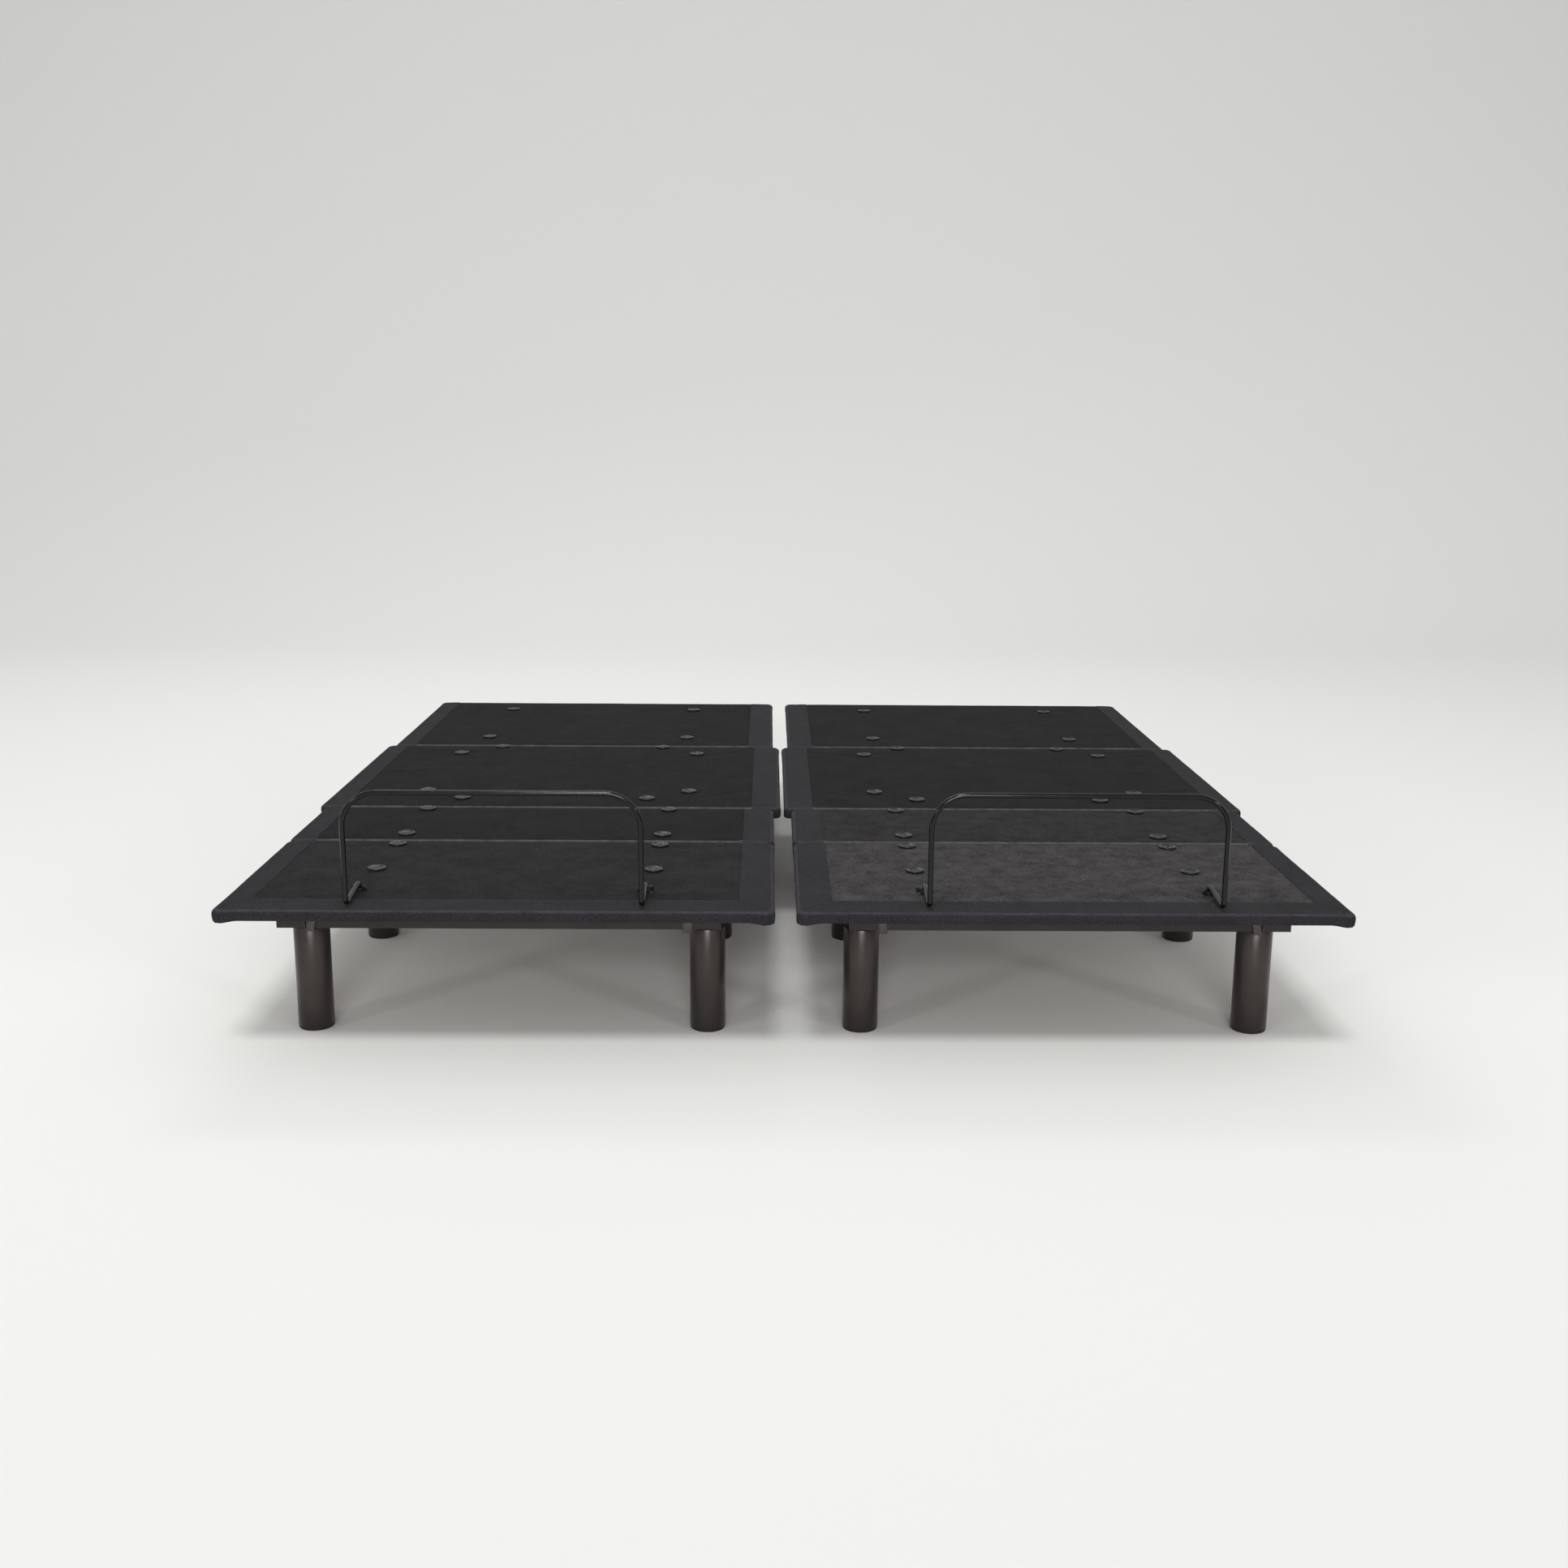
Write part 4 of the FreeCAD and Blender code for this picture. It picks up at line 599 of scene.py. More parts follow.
def block(form: Form, low: Vector, high: Vector, rounding: float = 0.0,
          segments: int = 2) -> Verts:
    """Add a block with rounded edges.

    Args:
        form: the bmesh it joins.
        low: lowest corner.
        high: highest corner.
        rounding: bevel width.
        segments: bevel segments.

    Returns:
        The block's vertices before the bevel.
    """
    made = bmesh.ops.create_cube(form, size=1.0)["verts"]
    bmesh.ops.scale(form, vec=high - low, verts=made)
    bmesh.ops.translate(form, vec=(low + high) / 2, verts=made)
    if rounding:
        bevel(form, all_round(made), rounding, segments)
    return made


def turned(form: Form, rim: Sequence[tuple[float, float]], middle: Vector,
           steps: int = 48) -> Verts:
    """Spin a half section, given as radius and height, about an upright axis.

    Args:
        form: the bmesh it joins.
        rim: the half section, from the axis at the bottom to the axis at the top.
        middle: the foot of the axis.
        steps: steps round.

    Returns:
        The vertices of the turned shape.
    """
    line = bmesh.new()
    spots = [line.verts.new((radius, 0.0, height)) for radius, height in rim]
    edges = [line.edges.new(pair) for pair in zip(spots, spots[1:])]
    bmesh.ops.spin(line, geom=spots + edges, cent=(0, 0, 0), axis=(0, 0, 1), angle=math.tau,
                   steps=steps, use_merge=True)
    bmesh.ops.remove_doubles(line, verts=line.verts, dist=MERGE)
    bmesh.ops.recalc_face_normals(line, faces=line.faces)
    bmesh.ops.translate(line, vec=middle, verts=line.verts)
    return merged(form, line)


def merged(form: Form, other: Form) -> Verts:
    """Add one bmesh to another and free it.

    Args:
        form: the bmesh that grows.
        other: the bmesh that is added and freed.

    Returns:
        The added vertices.
    """
    carrier = bpy.data.meshes.new("carrier")
    other.to_mesh(carrier)
    other.free()
    before = len(form.verts)
    form.from_mesh(carrier)
    bpy.data.meshes.remove(carrier)
    form.verts.ensure_lookup_table()
    return form.verts[before:]


def ease(low: float, high: float, value: float) -> float:
    """A smooth step from 0 at low to 1 at high."""
    share = min(1.0, max(0.0, (value - low) / (high - low)))
    return share * share * (3 - 2 * share)


def stations(start: float, end: float, pitch: float) -> list[float]:
    """Even places between two ends, about a pitch apart, ends left out."""
    count = max(2, round((end - start) / pitch))
    return [start + (end - start) * step / count for step in range(1, count)]


def cut_at(form: Form, places: Iterable[float], axis: int) -> None:
    """Cut a whole bmesh by planes across an axis.

    Args:
        form: the bmesh.
        places: where the planes stand on the axis.
        axis: 0 for X, 1 for Y, 2 for Z.
    """
    normal = Vector((axis == 0, axis == 1, axis == 2))
    for place in places:
        geom = [*form.verts, *form.edges, *form.faces]
        bmesh.ops.bisect_plane(form, geom=geom, dist=CUT_SNAP, plane_co=normal * place, plane_no=normal)


# ---------------------------------------------------------------- panel covers


@dataclass(frozen=True)
class Crease:
    """A shallow fold in taut fabric, from one place to another, measured from a panel's corner."""

    start: tuple[float, float]
    end: tuple[float, float]
    rise: float = 0.0012
    width: float = 0.009


@dataclass
class PanelCover:
    """The sewn fabric cover of one panel: a felt middle between woven borders."""

    side: Side
    section: Section
    body: str
    low: Vector
    high: Vector
    caps: list[Vector]
    ears: list[float]
    pitch: float = 0.0095
    outer_border: float = 0.051
    inner_border: float = 0.061
    front_border: float = 0.069
    lip: float = 0.045
    corner: float = 0.018
    edge: float = 0.008
    under_edge: float = 0.0018
    hem: float = 0.0009
    groove: float = 0.0008
    seam_out: float = 0.0032
    seam_near: float = 0.0014
    clear: float = 0.0035
    turn_up: float = 0.0014
    ear_half: float = 0.0095
    ear_deep: float = 0.014
    ear_tall: float = 0.0045
    mitre_half: float = 0.0016
    pin_seam: float = 0.004
    pin_end: float = 0.012
    pin_cap: float = 0.022
    frames: int = 20
    puff_limit: float = 0.0013
    droop: float = 0.005
    rub_reach: float = 0.012
    creases: Sequence[Crease] = ()
    seed: float = 0.0
    felt: Felt = FELT_PLAIN

    @property
    def name(self) -> str:
        """The piece's name."""
        return f"{self.side.label}_{self.section.value}_upholstery"

    @property
    def felt_low(self) -> Vector:
        """The felt's lowest X and Y."""
        left = self.outer_border if self.side is Side.LEFT else self.inner_border
        front = self.front_border if self.section is Section.FOOT else -1.0
        return Vector((self.low.x + left, self.low.y + front, 0))

    @property
    def felt_high(self) -> Vector:
        """The felt's highest X and Y."""
        right = self.inner_border if self.side is Side.LEFT else self.outer_border
        return Vector((self.high.x - right, self.high.y + 1.0, 0))

    def from_end(self, spot: Vector) -> float:
        """How far a point is from the nearer end of the panel, along Y."""
        return min(spot.y - self.low.y, self.high.y - spot.y)

    def past_seam(self, spot: Vector) -> float:
        """How far a point is outside the felt, negative inside it.

        Args:
            spot: the point.

        Returns:
            The distance in plan, in metres.
        """
        return max(self.felt_low.x - spot.x, spot.x - self.felt_high.x, self.felt_low.y - spot.y)

    def shell(self) -> Form:
        """The cover's outside: top, rolled edges, walls and the lip turned under the board.

        Returns:
            The bmesh.
        """
        form = bmesh.new()
        block(form, self.low, self.high)
        upright = [edge for edge in form.edges if abs((edge.verts[0].co - edge.verts[1].co).z) > 0.01]
        bevel(form, upright, self.corner, 7)
        for height, width, steps in ((self.high.z, self.edge, 5), (self.low.z, self.under_edge, 2)):
            rim = [edge for edge in form.edges if all(abs(vert.co.z - height) < 1e-6 for vert in edge.verts)]
            bevel(form, rim, width, steps)
        inset = self.edge + 0.001
        across = stations(self.low.x + inset, self.high.x - inset, self.pitch)
        along = stations(self.low.y + inset, self.high.y - inset, self.pitch)
        fine = (-self.seam_out, -self.seam_near, 0.0, self.seam_near)
        seams_x = [self.felt_low.x - step for step in fine] + [self.felt_high.x + step for step in fine]
        seams_y = [self.felt_low.y - step for step in fine] if self.section is Section.FOOT else []
        across = [x for x in across if all(abs(x - seam) > self.clear for seam in seams_x)]
        along = [y for y in along if all(abs(y - seam) > self.clear for seam in seams_y)]
        lip = Vector((self.lip, self.lip, 0))
        window = (self.low + lip, self.high - lip)
        across += seams_x + [self.low.x + inset, self.high.x - inset, window[0].x, window[1].x]
        along += seams_y + [self.low.y + inset, self.high.y - inset, window[0].y, window[1].y]
        cut_at(form, across, 0)
        cut_at(form, along, 1)
        self.open_underside(form, window)
        self.open_hinges(form)
        if self.section is Section.FOOT:
            self.cut_mitres(form)
        return form

    def open_underside(self, form: Form, window: Box) -> None:
        """Leave the board bare inside the turned-under lip, and give the lip its cut edge.

        Args:
            form: the shell.
            window: the bare area's corners.
        """
        bare = []
        for face in form.faces:
            middle = face.calc_center_median()
            inside = all(window[0][axis] < middle[axis] < window[1][axis] for axis in (0, 1))
            if inside and middle.z < self.low.z + 1e-4:
                bare.append(face)
        bmesh.ops.delete(form, geom=bare, context="FACES")
        rim = [edge for edge in form.edges if edge.is_boundary]
        made = bmesh.ops.extrude_edge_only(form, edges=rim)["geom"]
        bmesh.ops.translate(form, vec=(0, 0, self.turn_up), verts=verts_in(made))

    def open_hinges(self, form: Form) -> None:
        """Cut the fabric away where hinge ears come up beside the panel."""
        for ear in self.ears:
            cut_at(form, (ear - self.ear_half, ear + self.ear_half), 0)
        cut_at(form, (self.low.y + self.ear_deep, self.high.y - self.ear_deep), 1)
        gone = []
        for face in form.faces:
            middle = face.calc_center_median()
            near_end = self.from_end(middle) < self.ear_deep
            near_ear = any(abs(middle.x - ear) < self.ear_half for ear in self.ears)
            low_enough = middle.z < self.high.z - self.ear_tall
            if near_end and near_ear and low_enough and self.takes_ear(middle.y):
                gone.append(face)
        bmesh.ops.delete(form, geom=gone, context="FACES")

    def takes_ear(self, y: float) -> bool:
        """Whether the end of the panel near Y has a hip or waist hinge."""
        rear = y > (self.low.y + self.high.y) / 2
        if self.section is Section.THIGH:
            return rear
        if self.section is Section.HEAD:
            return not rear
        return self.section is Section.SEAT

    def cut_mitres(self, form: Form) -> None:
        """Cut lines for the mitre seams at the two front corners."""
        for corner, inner in self.mitres():
            along = (corner - inner).normalized()
            normal = Vector((-along.y, along.x, 0))
            area = [
                face for face in form.faces
                if self.past_seam(face.calc_center_median()) > -0.001
                and face.calc_center_median().y < inner.y
                and abs(face.calc_center_median().x - corner.x) < abs(inner.x - corner.x)
            ]
            for step in (-self.mitre_half, 0.0, self.mitre_half):
                faces = [face for face in area if face.is_valid]
                geom = {item for face in faces for item in (*face.verts, *face.edges)} | set(faces)
                made = bmesh.ops.bisect_plane(form, geom=list(geom), dist=CUT_SNAP,
                                              plane_co=inner + normal * step, plane_no=normal)
                area = [item for item in made["geom"] if isinstance(item, bmesh.types.BMFace)]

    def mitres(self) -> list[Box]:
        """Outer and inner end of each mitre seam at the foot end."""
        front = self.low.y
        return [
            (Vector((self.low.x, front, 0)), Vector((self.felt_low.x, self.felt_low.y, 0))),
            (Vector((self.high.x, front, 0)), Vector((self.felt_high.x, self.felt_low.y, 0))),
        ]

    def swell(self, form: Form) -> None:
        """Let the felt swell over its thin wadding by a cloth simulation, held by seams and bolt caps.

        Args:
            form: the shell, whose vertices move.
        """
        mesh = bpy.data.meshes.new(self.name + "_cloth")
        form.to_mesh(mesh)
        item = linked(self.name + "_cloth", mesh)
        held = item.vertex_groups.new(name="held")
        for vert in mesh.vertices:
            cap = min((Vector((vert.co.x, vert.co.y, 0)) - spot).length for spot in self.caps)
            off_edges = -self.past_seam(vert.co) > self.pin_seam and self.from_end(vert.co) > self.pin_end
            free = vert.co.z > self.high.z - 1e-4 and off_edges and cap > self.pin_cap
            held.add([vert.index], 0.0 if free else 1.0, "REPLACE")
        cloth = item.modifiers.new("cloth", "CLOTH")
        rules = cloth.settings
        rules.quality, rules.mass, rules.air_damping = 4, 0.25, 2.0
        rules.tension_stiffness = rules.compression_stiffness = 12.0
        rules.shear_stiffness, rules.bending_stiffness = 6.0, 1.5
        rules.use_pressure, rules.uniform_pressure_force = True, 1.0
        rules.vertex_group_mass = "held"
        rules.effector_weights.gravity = 0.0
        cloth.collision_settings.use_collision = False
        cloth.point_cache.frame_end = self.frames
        scene = bpy.context.scene
        for step in range(1, self.frames + 1):
            scene.frame_set(step)
        tallest = 0.0
        for vert, rest in zip(shape_of(item).vertices, form.verts):
            rise = max(0.0, vert.co.z - rest.co.z)
            tallest = max(tallest, rise)
            rest.co.z += self.puff_limit * math.tanh(rise / self.puff_limit)
        LOG.info("%s: cloth rose up to %.1f mm", self.name, tallest * 1000)
        scene.frame_set(1)
        bpy.data.objects.remove(item)
        bpy.data.meshes.remove(mesh)

    def refine(self, form: Form) -> Form:
        """Smooth the shell by one level of subdivision.

        Args:
            form: the shell, which is freed.

        Returns:
            The finer shell.
        """
        mesh = bpy.data.meshes.new(self.name + "_coarse")
        form.to_mesh(mesh)
        form.free()
        item = linked(self.name + "_coarse", mesh)
        smooth = item.modifiers.new("smooth", "SUBSURF")
        smooth.levels = smooth.render_levels = 1
        finer = bmesh.new()
        finer.from_mesh(shape_of(item))
        bpy.data.objects.remove(item)
        bpy.data.meshes.remove(mesh)
        return finer

    def relief(self, spot: Vector) -> float:
        """Height of hems, seams and creases at a point.

        Args:
            spot: the point.

        Returns:
            The height along the surface's normal, in metres.
        """
        past = self.past_seam(spot)
        rise = self.hem * ease(-0.0006, 0.0016, past) * (1 - 0.7 * ease(0.012, 0.035, past))
        rise -= self.groove * math.exp(-((past + 0.001) / 0.0013) ** 2)
        if self.section is Section.FOOT and past > 0.002:
            for corner, inner in self.mitres():
                along = (corner - inner).normalized()
                off = (spot.xy - inner.xy).cross(along.xy)
                ahead = (spot.xy - inner.xy).dot(along.xy)
                if ahead > 0:
                    rise -= self.groove * math.exp(-(off / 0.0016) ** 2)
        for crease in self.creases:
            start = self.corner_spot(crease.start)
            end = self.corner_spot(crease.end)
            run = end - start
            share = min(1.0, max(0.0, (spot.xy - start).dot(run) / run.length_squared))
            off = (spot.xy - start - run * share).length / crease.width
            rise += crease.rise * math.sin(math.pi * min(1.0, share + 0.08)) * math.exp(-off * off)
        rough = noise.fractal(spot * 9.0 + Vector((self.seed, 0, 0)), 0.8, 2.1, 3)
        rough += 0.35 * noise.noise(spot * 38.0 + Vector((0, self.seed, 0)))
        return rise + 0.00035 * rough

    def corner_spot(self, place: tuple[float, float]) -> Vector:
        """A place measured inwards from a corner: negative numbers count from the far sides."""
        across, along = place
        base_x = self.low.x if across >= 0 else self.high.x
        base_y = self.low.y if along >= 0 else self.high.y
        return Vector((base_x + across, base_y + along))

    def sag(self, spot: Vector) -> Vector:
        """Slack of the folded fabric at the panel's corners.

        Args:
            spot: a point of the shell.

        Returns:
            How far it moves.
        """
        move = Vector()
        depth = (self.high.z - spot.z) / (self.high.z - self.low.z)
        for corner_x in (self.low.x, self.high.x):
            for corner_y in (self.low.y, self.high.y):
                away = Vector((spot.x - corner_x, spot.y - corner_y))
                inward = Vector((1 if corner_x == self.low.x else -1, 1 if corner_y == self.low.y else -1))
                near = 1 - ease(0.008, 0.045, away.length)
                if near <= 0 or depth <= 0.02:
                    continue
                front = 1.0 if corner_y == self.low.y else 0.4
                pleat = 0.5 + 0.5 * math.cos(math.atan2(away.y * inward.y, away.x * inward.x) * 9.0)
                out = -inward.normalized() * (0.0006 + 0.0016 * pleat) * math.sin(math.pi * min(depth, 1.0))
                down = self.droop * front * ease(0.35, 1.0, depth) * (0.75 + 0.25 * pleat)
                move += Vector((out.x, out.y, -down)) * near
        return move

    def build(self) -> bpy.types.Object:
        """Model the cover.

        Returns:
            The cover.
        """
        form = self.shell()
        self.swell(form)
        form = self.refine(form)
        form.normal_update()
        moves = []
        for vert in form.verts:
            inner = vert.normal.z < -0.5 and vert.co.z > self.low.z + 0.0005
            lift = 0.0 if inner else self.relief(vert.co)
            lift *= 0.25 + 0.75 * ease(0.0, 0.012, self.from_end(vert.co))
            moves.append(vert.normal * lift + self.sag(vert.co))
        for vert, move in zip(form.verts, moves):
            vert.co += move
        form.normal_update()
        # Painted highlight: mark the tilted upper rolls near the panel's edges, where the materials lighten
        # the colour in place of light caught on them
        rub = form.verts.layers.float.new("rub")
        half = (self.low.z + self.high.z) / 2
        for vert in form.verts:
            tilt = vert.normal.xy.length
            rim = min(vert.co.x - self.low.x, self.high.x - vert.co.x, self.from_end(vert.co))
            upper = vert.co.z > half and vert.normal.z > 0 and rim < self.rub_reach
            vert[rub] = ease(0.12, 0.4, tilt) * (1 - ease(0.65, 0.92, tilt)) if upper else 0.0
        layer = form.loops.layers.uv.new("cloth")
        for face in form.faces:
            face.material_index = int(self.past_seam(face.calc_center_median()) > 0)
            for loop in face.loops:
                spot = loop.vert.co
                fall = self.high.z - spot.z
                loop[layer].uv = [
                    spot[axis] if abs(face.normal[axis]) < 0.6 else
                    spot[axis] + math.copysign(fall, face.normal[axis]) for axis in (0, 1)
                ]
        item = piece(self.name, form, (self.felt, BORDER), self.body, 60.0)
        return item


# ---------------------------------------------------------------- fittings


@dataclass
class BoltCaps:
    """Domed plastic bolt caps with a dished middle and a coin slot."""

    name: str
    body: str
    spots: list[Vector]
    radius: float = 0.017
    slot_half: float = 0.0009
    slot_reach: float = 0.0088
    slot_deep: float = 0.0012
    slot_turns: Sequence[float] = (20.0, -35.0, 8.0, 60.0, -12.0, 41.0, -58.0, 27.0)

    def build(self) -> bpy.types.Object:
        """Model the caps of one panel.

        Returns:
            The caps, as one piece.
        """
        form = bmesh.new()
        size = self.radius
        rim = (
            (0.0, -0.003), (size * 0.70, -0.003), (size * 0.78, 0.0), (size * 0.93, 0.0008),
            (size * 0.99, 0.0017), (size, 0.0026), (size * 0.985, 0.0036), (size * 0.95, 0.0045),
            (size * 0.90, 0.0049), (size * 0.84, 0.0049), (size * 0.76, 0.0043), (size * 0.62, 0.0034),
            (size * 0.40, 0.0028), (size * 0.2, 0.0026), (0.0, 0.0026),
        )
        for number, spot in enumerate(self.spots):
            cap = bmesh.new()
            turned(cap, rim, Vector())
            self.cut_slot(cap)
            rotate(cap, self.slot_turns[number % len(self.slot_turns)], "Z")
            bmesh.ops.translate(cap, vec=spot, verts=cap.verts)
            merged(form, cap)
        return piece(self.name, form, (CAP_PLASTIC,), self.body, 40.0)

    def cut_slot(self, cap: Form) -> None:
        """Sink a coin slot into a cap's dished middle.

        Args:
            cap: the turned cap.
        """
        cut_at(cap, (-self.slot_half, self.slot_half), 1)
        cut_at(cap, (-self.slot_reach, self.slot_reach), 0)
        floor = [face for face in cap.faces if face.normal.z > 0.7 and self.in_slot(face)]
        made = bmesh.ops.extrude_face_region(cap, geom=floor)["geom"]
        bmesh.ops.delete(cap, geom=[face for face in floor if face.is_valid], context="FACES_ONLY")
        bmesh.ops.translate(cap, vec=(0, 0, -self.slot_deep), verts=verts_in(made))

    def in_slot(self, face: bmesh.types.BMFace) -> bool:
        """Whether a face lies in the slot's outline."""
        middle = face.calc_center_median()
        return abs(middle.y) < self.slot_half and abs(middle.x) < self.slot_reach and middle.z > 0.002


@dataclass
class RetainerBar:
    """The bent rod that keeps the mattress from sliding off the foot end."""

    side: Side
    radius: float = 0.0045
    post_bend: float = 0.019
    toe_rise: float = 0.007
    small_bend: float = 0.009
    corner_bend: float = 0.058
    deck: float = field(init=False)
    low: Vector = field(init=False)
    high: Vector = field(init=False)

    def __post_init__(self) -> None:
        """Read the rod's box and the top of the fabric."""
        self.low, self.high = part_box(f"{self.side.label}_retainer_bar")
        self.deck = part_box(f"{self.side.label}_foot_cover")[1].z

    def corners(self) -> list[tuple[Vector, float]]:
        """The corners of the rod's middle line and the bend at each."""
        left, right = self.low.x + self.radius, self.high.x - self.radius
        toe, post = self.low.y + self.radius, self.high.y - self.radius
        half = [
            (Vector((left, post, self.low.z + 0.001)), 0.0),
            (Vector((left, post, self.deck + self.post_bend)), self.small_bend),
            (Vector((left, toe, self.deck + self.toe_rise)), self.small_bend),
            (Vector((left, toe, self.high.z - self.radius)), self.corner_bend),
        ]
        return half + [(Vector((right, spot.y, spot.z)), bend) for spot, bend in reversed(half)]

    def build(self) -> bpy.types.Object:
        """Model the rod.

        Returns:
            The rod.
        """
        curve = bpy.data.curves.new("rod", "CURVE")
        curve.dimensions, curve.resolution_u = "3D", 10
        curve.bevel_depth, curve.bevel_resolution, curve.use_fill_caps = self.radius, 6, True
        spots = self.corners()
        knots = [(spots[0][0], None, None)]
        for (before, _), (corner, bend), (after, _) in zip(spots, spots[1:], spots[2:]):
            back, ahead = (before - corner).normalized(), (after - corner).normalized()
            half_turn = back.angle(ahead) / 2
            trim = bend / math.tan(half_turn)
            pull = trim - 4 / 3 * math.tan((math.pi / 2 - half_turn) / 2) * bend
            knots.append((corner + back * trim, None, corner + back * pull))
            knots.append((corner + ahead * trim, corner + ahead * pull, None))
        knots.append((spots[-1][0], None, None))
        spline = curve.splines.new("BEZIER")
        spline.bezier_points.add(len(knots) - 1)
        for index, (knot, (spot, left, right)) in enumerate(zip(spline.bezier_points, knots)):
            knot.co = spot
            before = knots[index - 1][0] if index else spot
            after = knots[index + 1][0] if index + 1 < len(knots) else spot
            knot.handle_left = left or spot.lerp(before, 1 / 3)
            knot.handle_right = right or spot.lerp(after, 1 / 3)
        holder = linked("rod", curve)
        form = bmesh.new()
        form.from_mesh(shape_of(holder))
        bpy.data.objects.remove(holder)
        bmesh.ops.remove_doubles(form, verts=form.verts, dist=MERGE)
        bmesh.ops.recalc_face_normals(form, faces=form.faces)
        name = f"{self.side.label}_retainer_rod"
        item = piece(name, form, (ENAMEL,), f"{self.side.label}_foot_deck", 50.0)
        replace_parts(item, f"{self.side.label}_retainer_bar")
        return item


@dataclass
class WingNuts:
    """Wing nuts and washers that hold the retainer's posts."""

    side: Side
    hub: float = 0.0075
    thick: float = 0.0022
    blade: float = 0.0058
    blade_out: float = 0.0105
    blade_up: float = 0.0076
    blade_lean: float = 18.0
    turns: tuple[float, float] = (-24.0, 31.0)

    def wing(self, way: int) -> Form:
        """Model one blade of a nut.

        Args:
            way: 1 for the blade towards X, -1 for the other.

        Returns:
            The blade, in its place on the nut.
        """
        wing = bmesh.new()
        bmesh.ops.create_circle(wing, cap_ends=True, segments=24, radius=self.blade)
        rotate(wing, 90, "X")
        pulled = bmesh.ops.extrude_face_region(wing, geom=list(wing.faces))["geom"]
        bmesh.ops.translate(wing, vec=(0, self.thick, 0), verts=verts_in(pulled))
        bmesh.ops.recalc_face_normals(wing, faces=wing.faces)
        rim = [edge for edge in wing.edges if len(edge.link_faces) == 2 and edge.calc_face_angle(0.0) > 1.0]
        bevel(wing, rim, 0.0007, 2)
        bmesh.ops.scale(wing, vec=(1.05, 1.0, 0.92), verts=wing.verts)
        rotate(wing, way * self.blade_lean, "Y")
        place = (way * self.blade_out, -self.thick / 2, self.blade_up)
        bmesh.ops.translate(wing, vec=place, verts=wing.verts)
        return wing

    def build(self) -> bpy.types.Object:
        """Model both wing nuts of one base.

        Returns:
            The nuts, as one piece.
        """
        label = self.side.label
        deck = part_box(f"{label}_foot_cover")[1].z
        rim = (
            (0.0, 0.0), (0.0112, 0.0), (0.0115, 0.0004), (0.0115, 0.0012), (0.0110, 0.0016),
            (self.hub, 0.0017), (self.hub, 0.0072), (self.hub - 0.0011, 0.0085), (0.0, 0.0085),
        )
        form = bmesh.new()
        for number, box in enumerate(solids_of(f"{label}_wing_nuts")):
            nut = bmesh.new()
            turned(nut, rim, Vector())
            for way in (-1, 1):
                merged(nut, self.wing(way))
            rotate(nut, self.turns[number % len(self.turns)], "Z")
            bmesh.ops.translate(nut, vec=middle_of(box, deck + 0.0004), verts=nut.verts)
            merged(form, nut)
        item = piece(f"{label}_wing_nut_pair", form, (NUT_STEEL,), f"{label}_foot_deck")
        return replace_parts(item, f"{label}_wing_nuts")


@dataclass
class Legs:
    """Round tube legs with a rolled top rim, and their plastic glides."""

    bevel: float = 0.0016
    glide: float = 0.0052
    steps: int = 64

    def build(self) -> list[bpy.types.Object]:
        """Model all legs and glides.

        Returns:
            The legs and the glides.
        """
        tubes, feet = bmesh.new(), bmesh.new()
        for low, high in solids_of("legs"):
            radius, soft = (high.x - low.x) / 2, self.bevel
            turned(tubes, (
                (0.0, low.z + 0.004), (radius - 0.002, low.z + 0.004), (radius - 0.002, low.z + 0.0004),
                (radius - 0.0008, low.z + 0.0002), (radius, low.z + 0.0012), (radius, high.z - soft),
                (radius - soft * 0.3, high.z - soft * 0.3), (radius - soft, high.z), (0.0, high.z),
            ), middle_of((low, high)), self.steps)
        for low, high in solids_of("leg_glides"):
            radius, top = (high.x - low.x) / 2, low.z + self.glide
            turned(feet, (
                (0.0, low.z + 0.0006), (radius * 0.5, low.z + 0.0004), (radius - 0.0035, low.z),
                (radius - 0.0016, low.z + 0.0006), (radius - 0.0006, low.z + 0.002), (radius - 0.0006, top),
                (radius - 0.003, top + 0.0004), (0.0, top + 0.0004),
            ), middle_of((low, high)), self.steps)
        legs = piece("leg_tubes", tubes, (LEG_COAT,), "base", 40.0)
        glides = piece("leg_glide_feet", feet, (BLACK_PLASTIC,), "base", 40.0)
        return [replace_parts(legs, "legs"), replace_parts(glides, "leg_glides")]


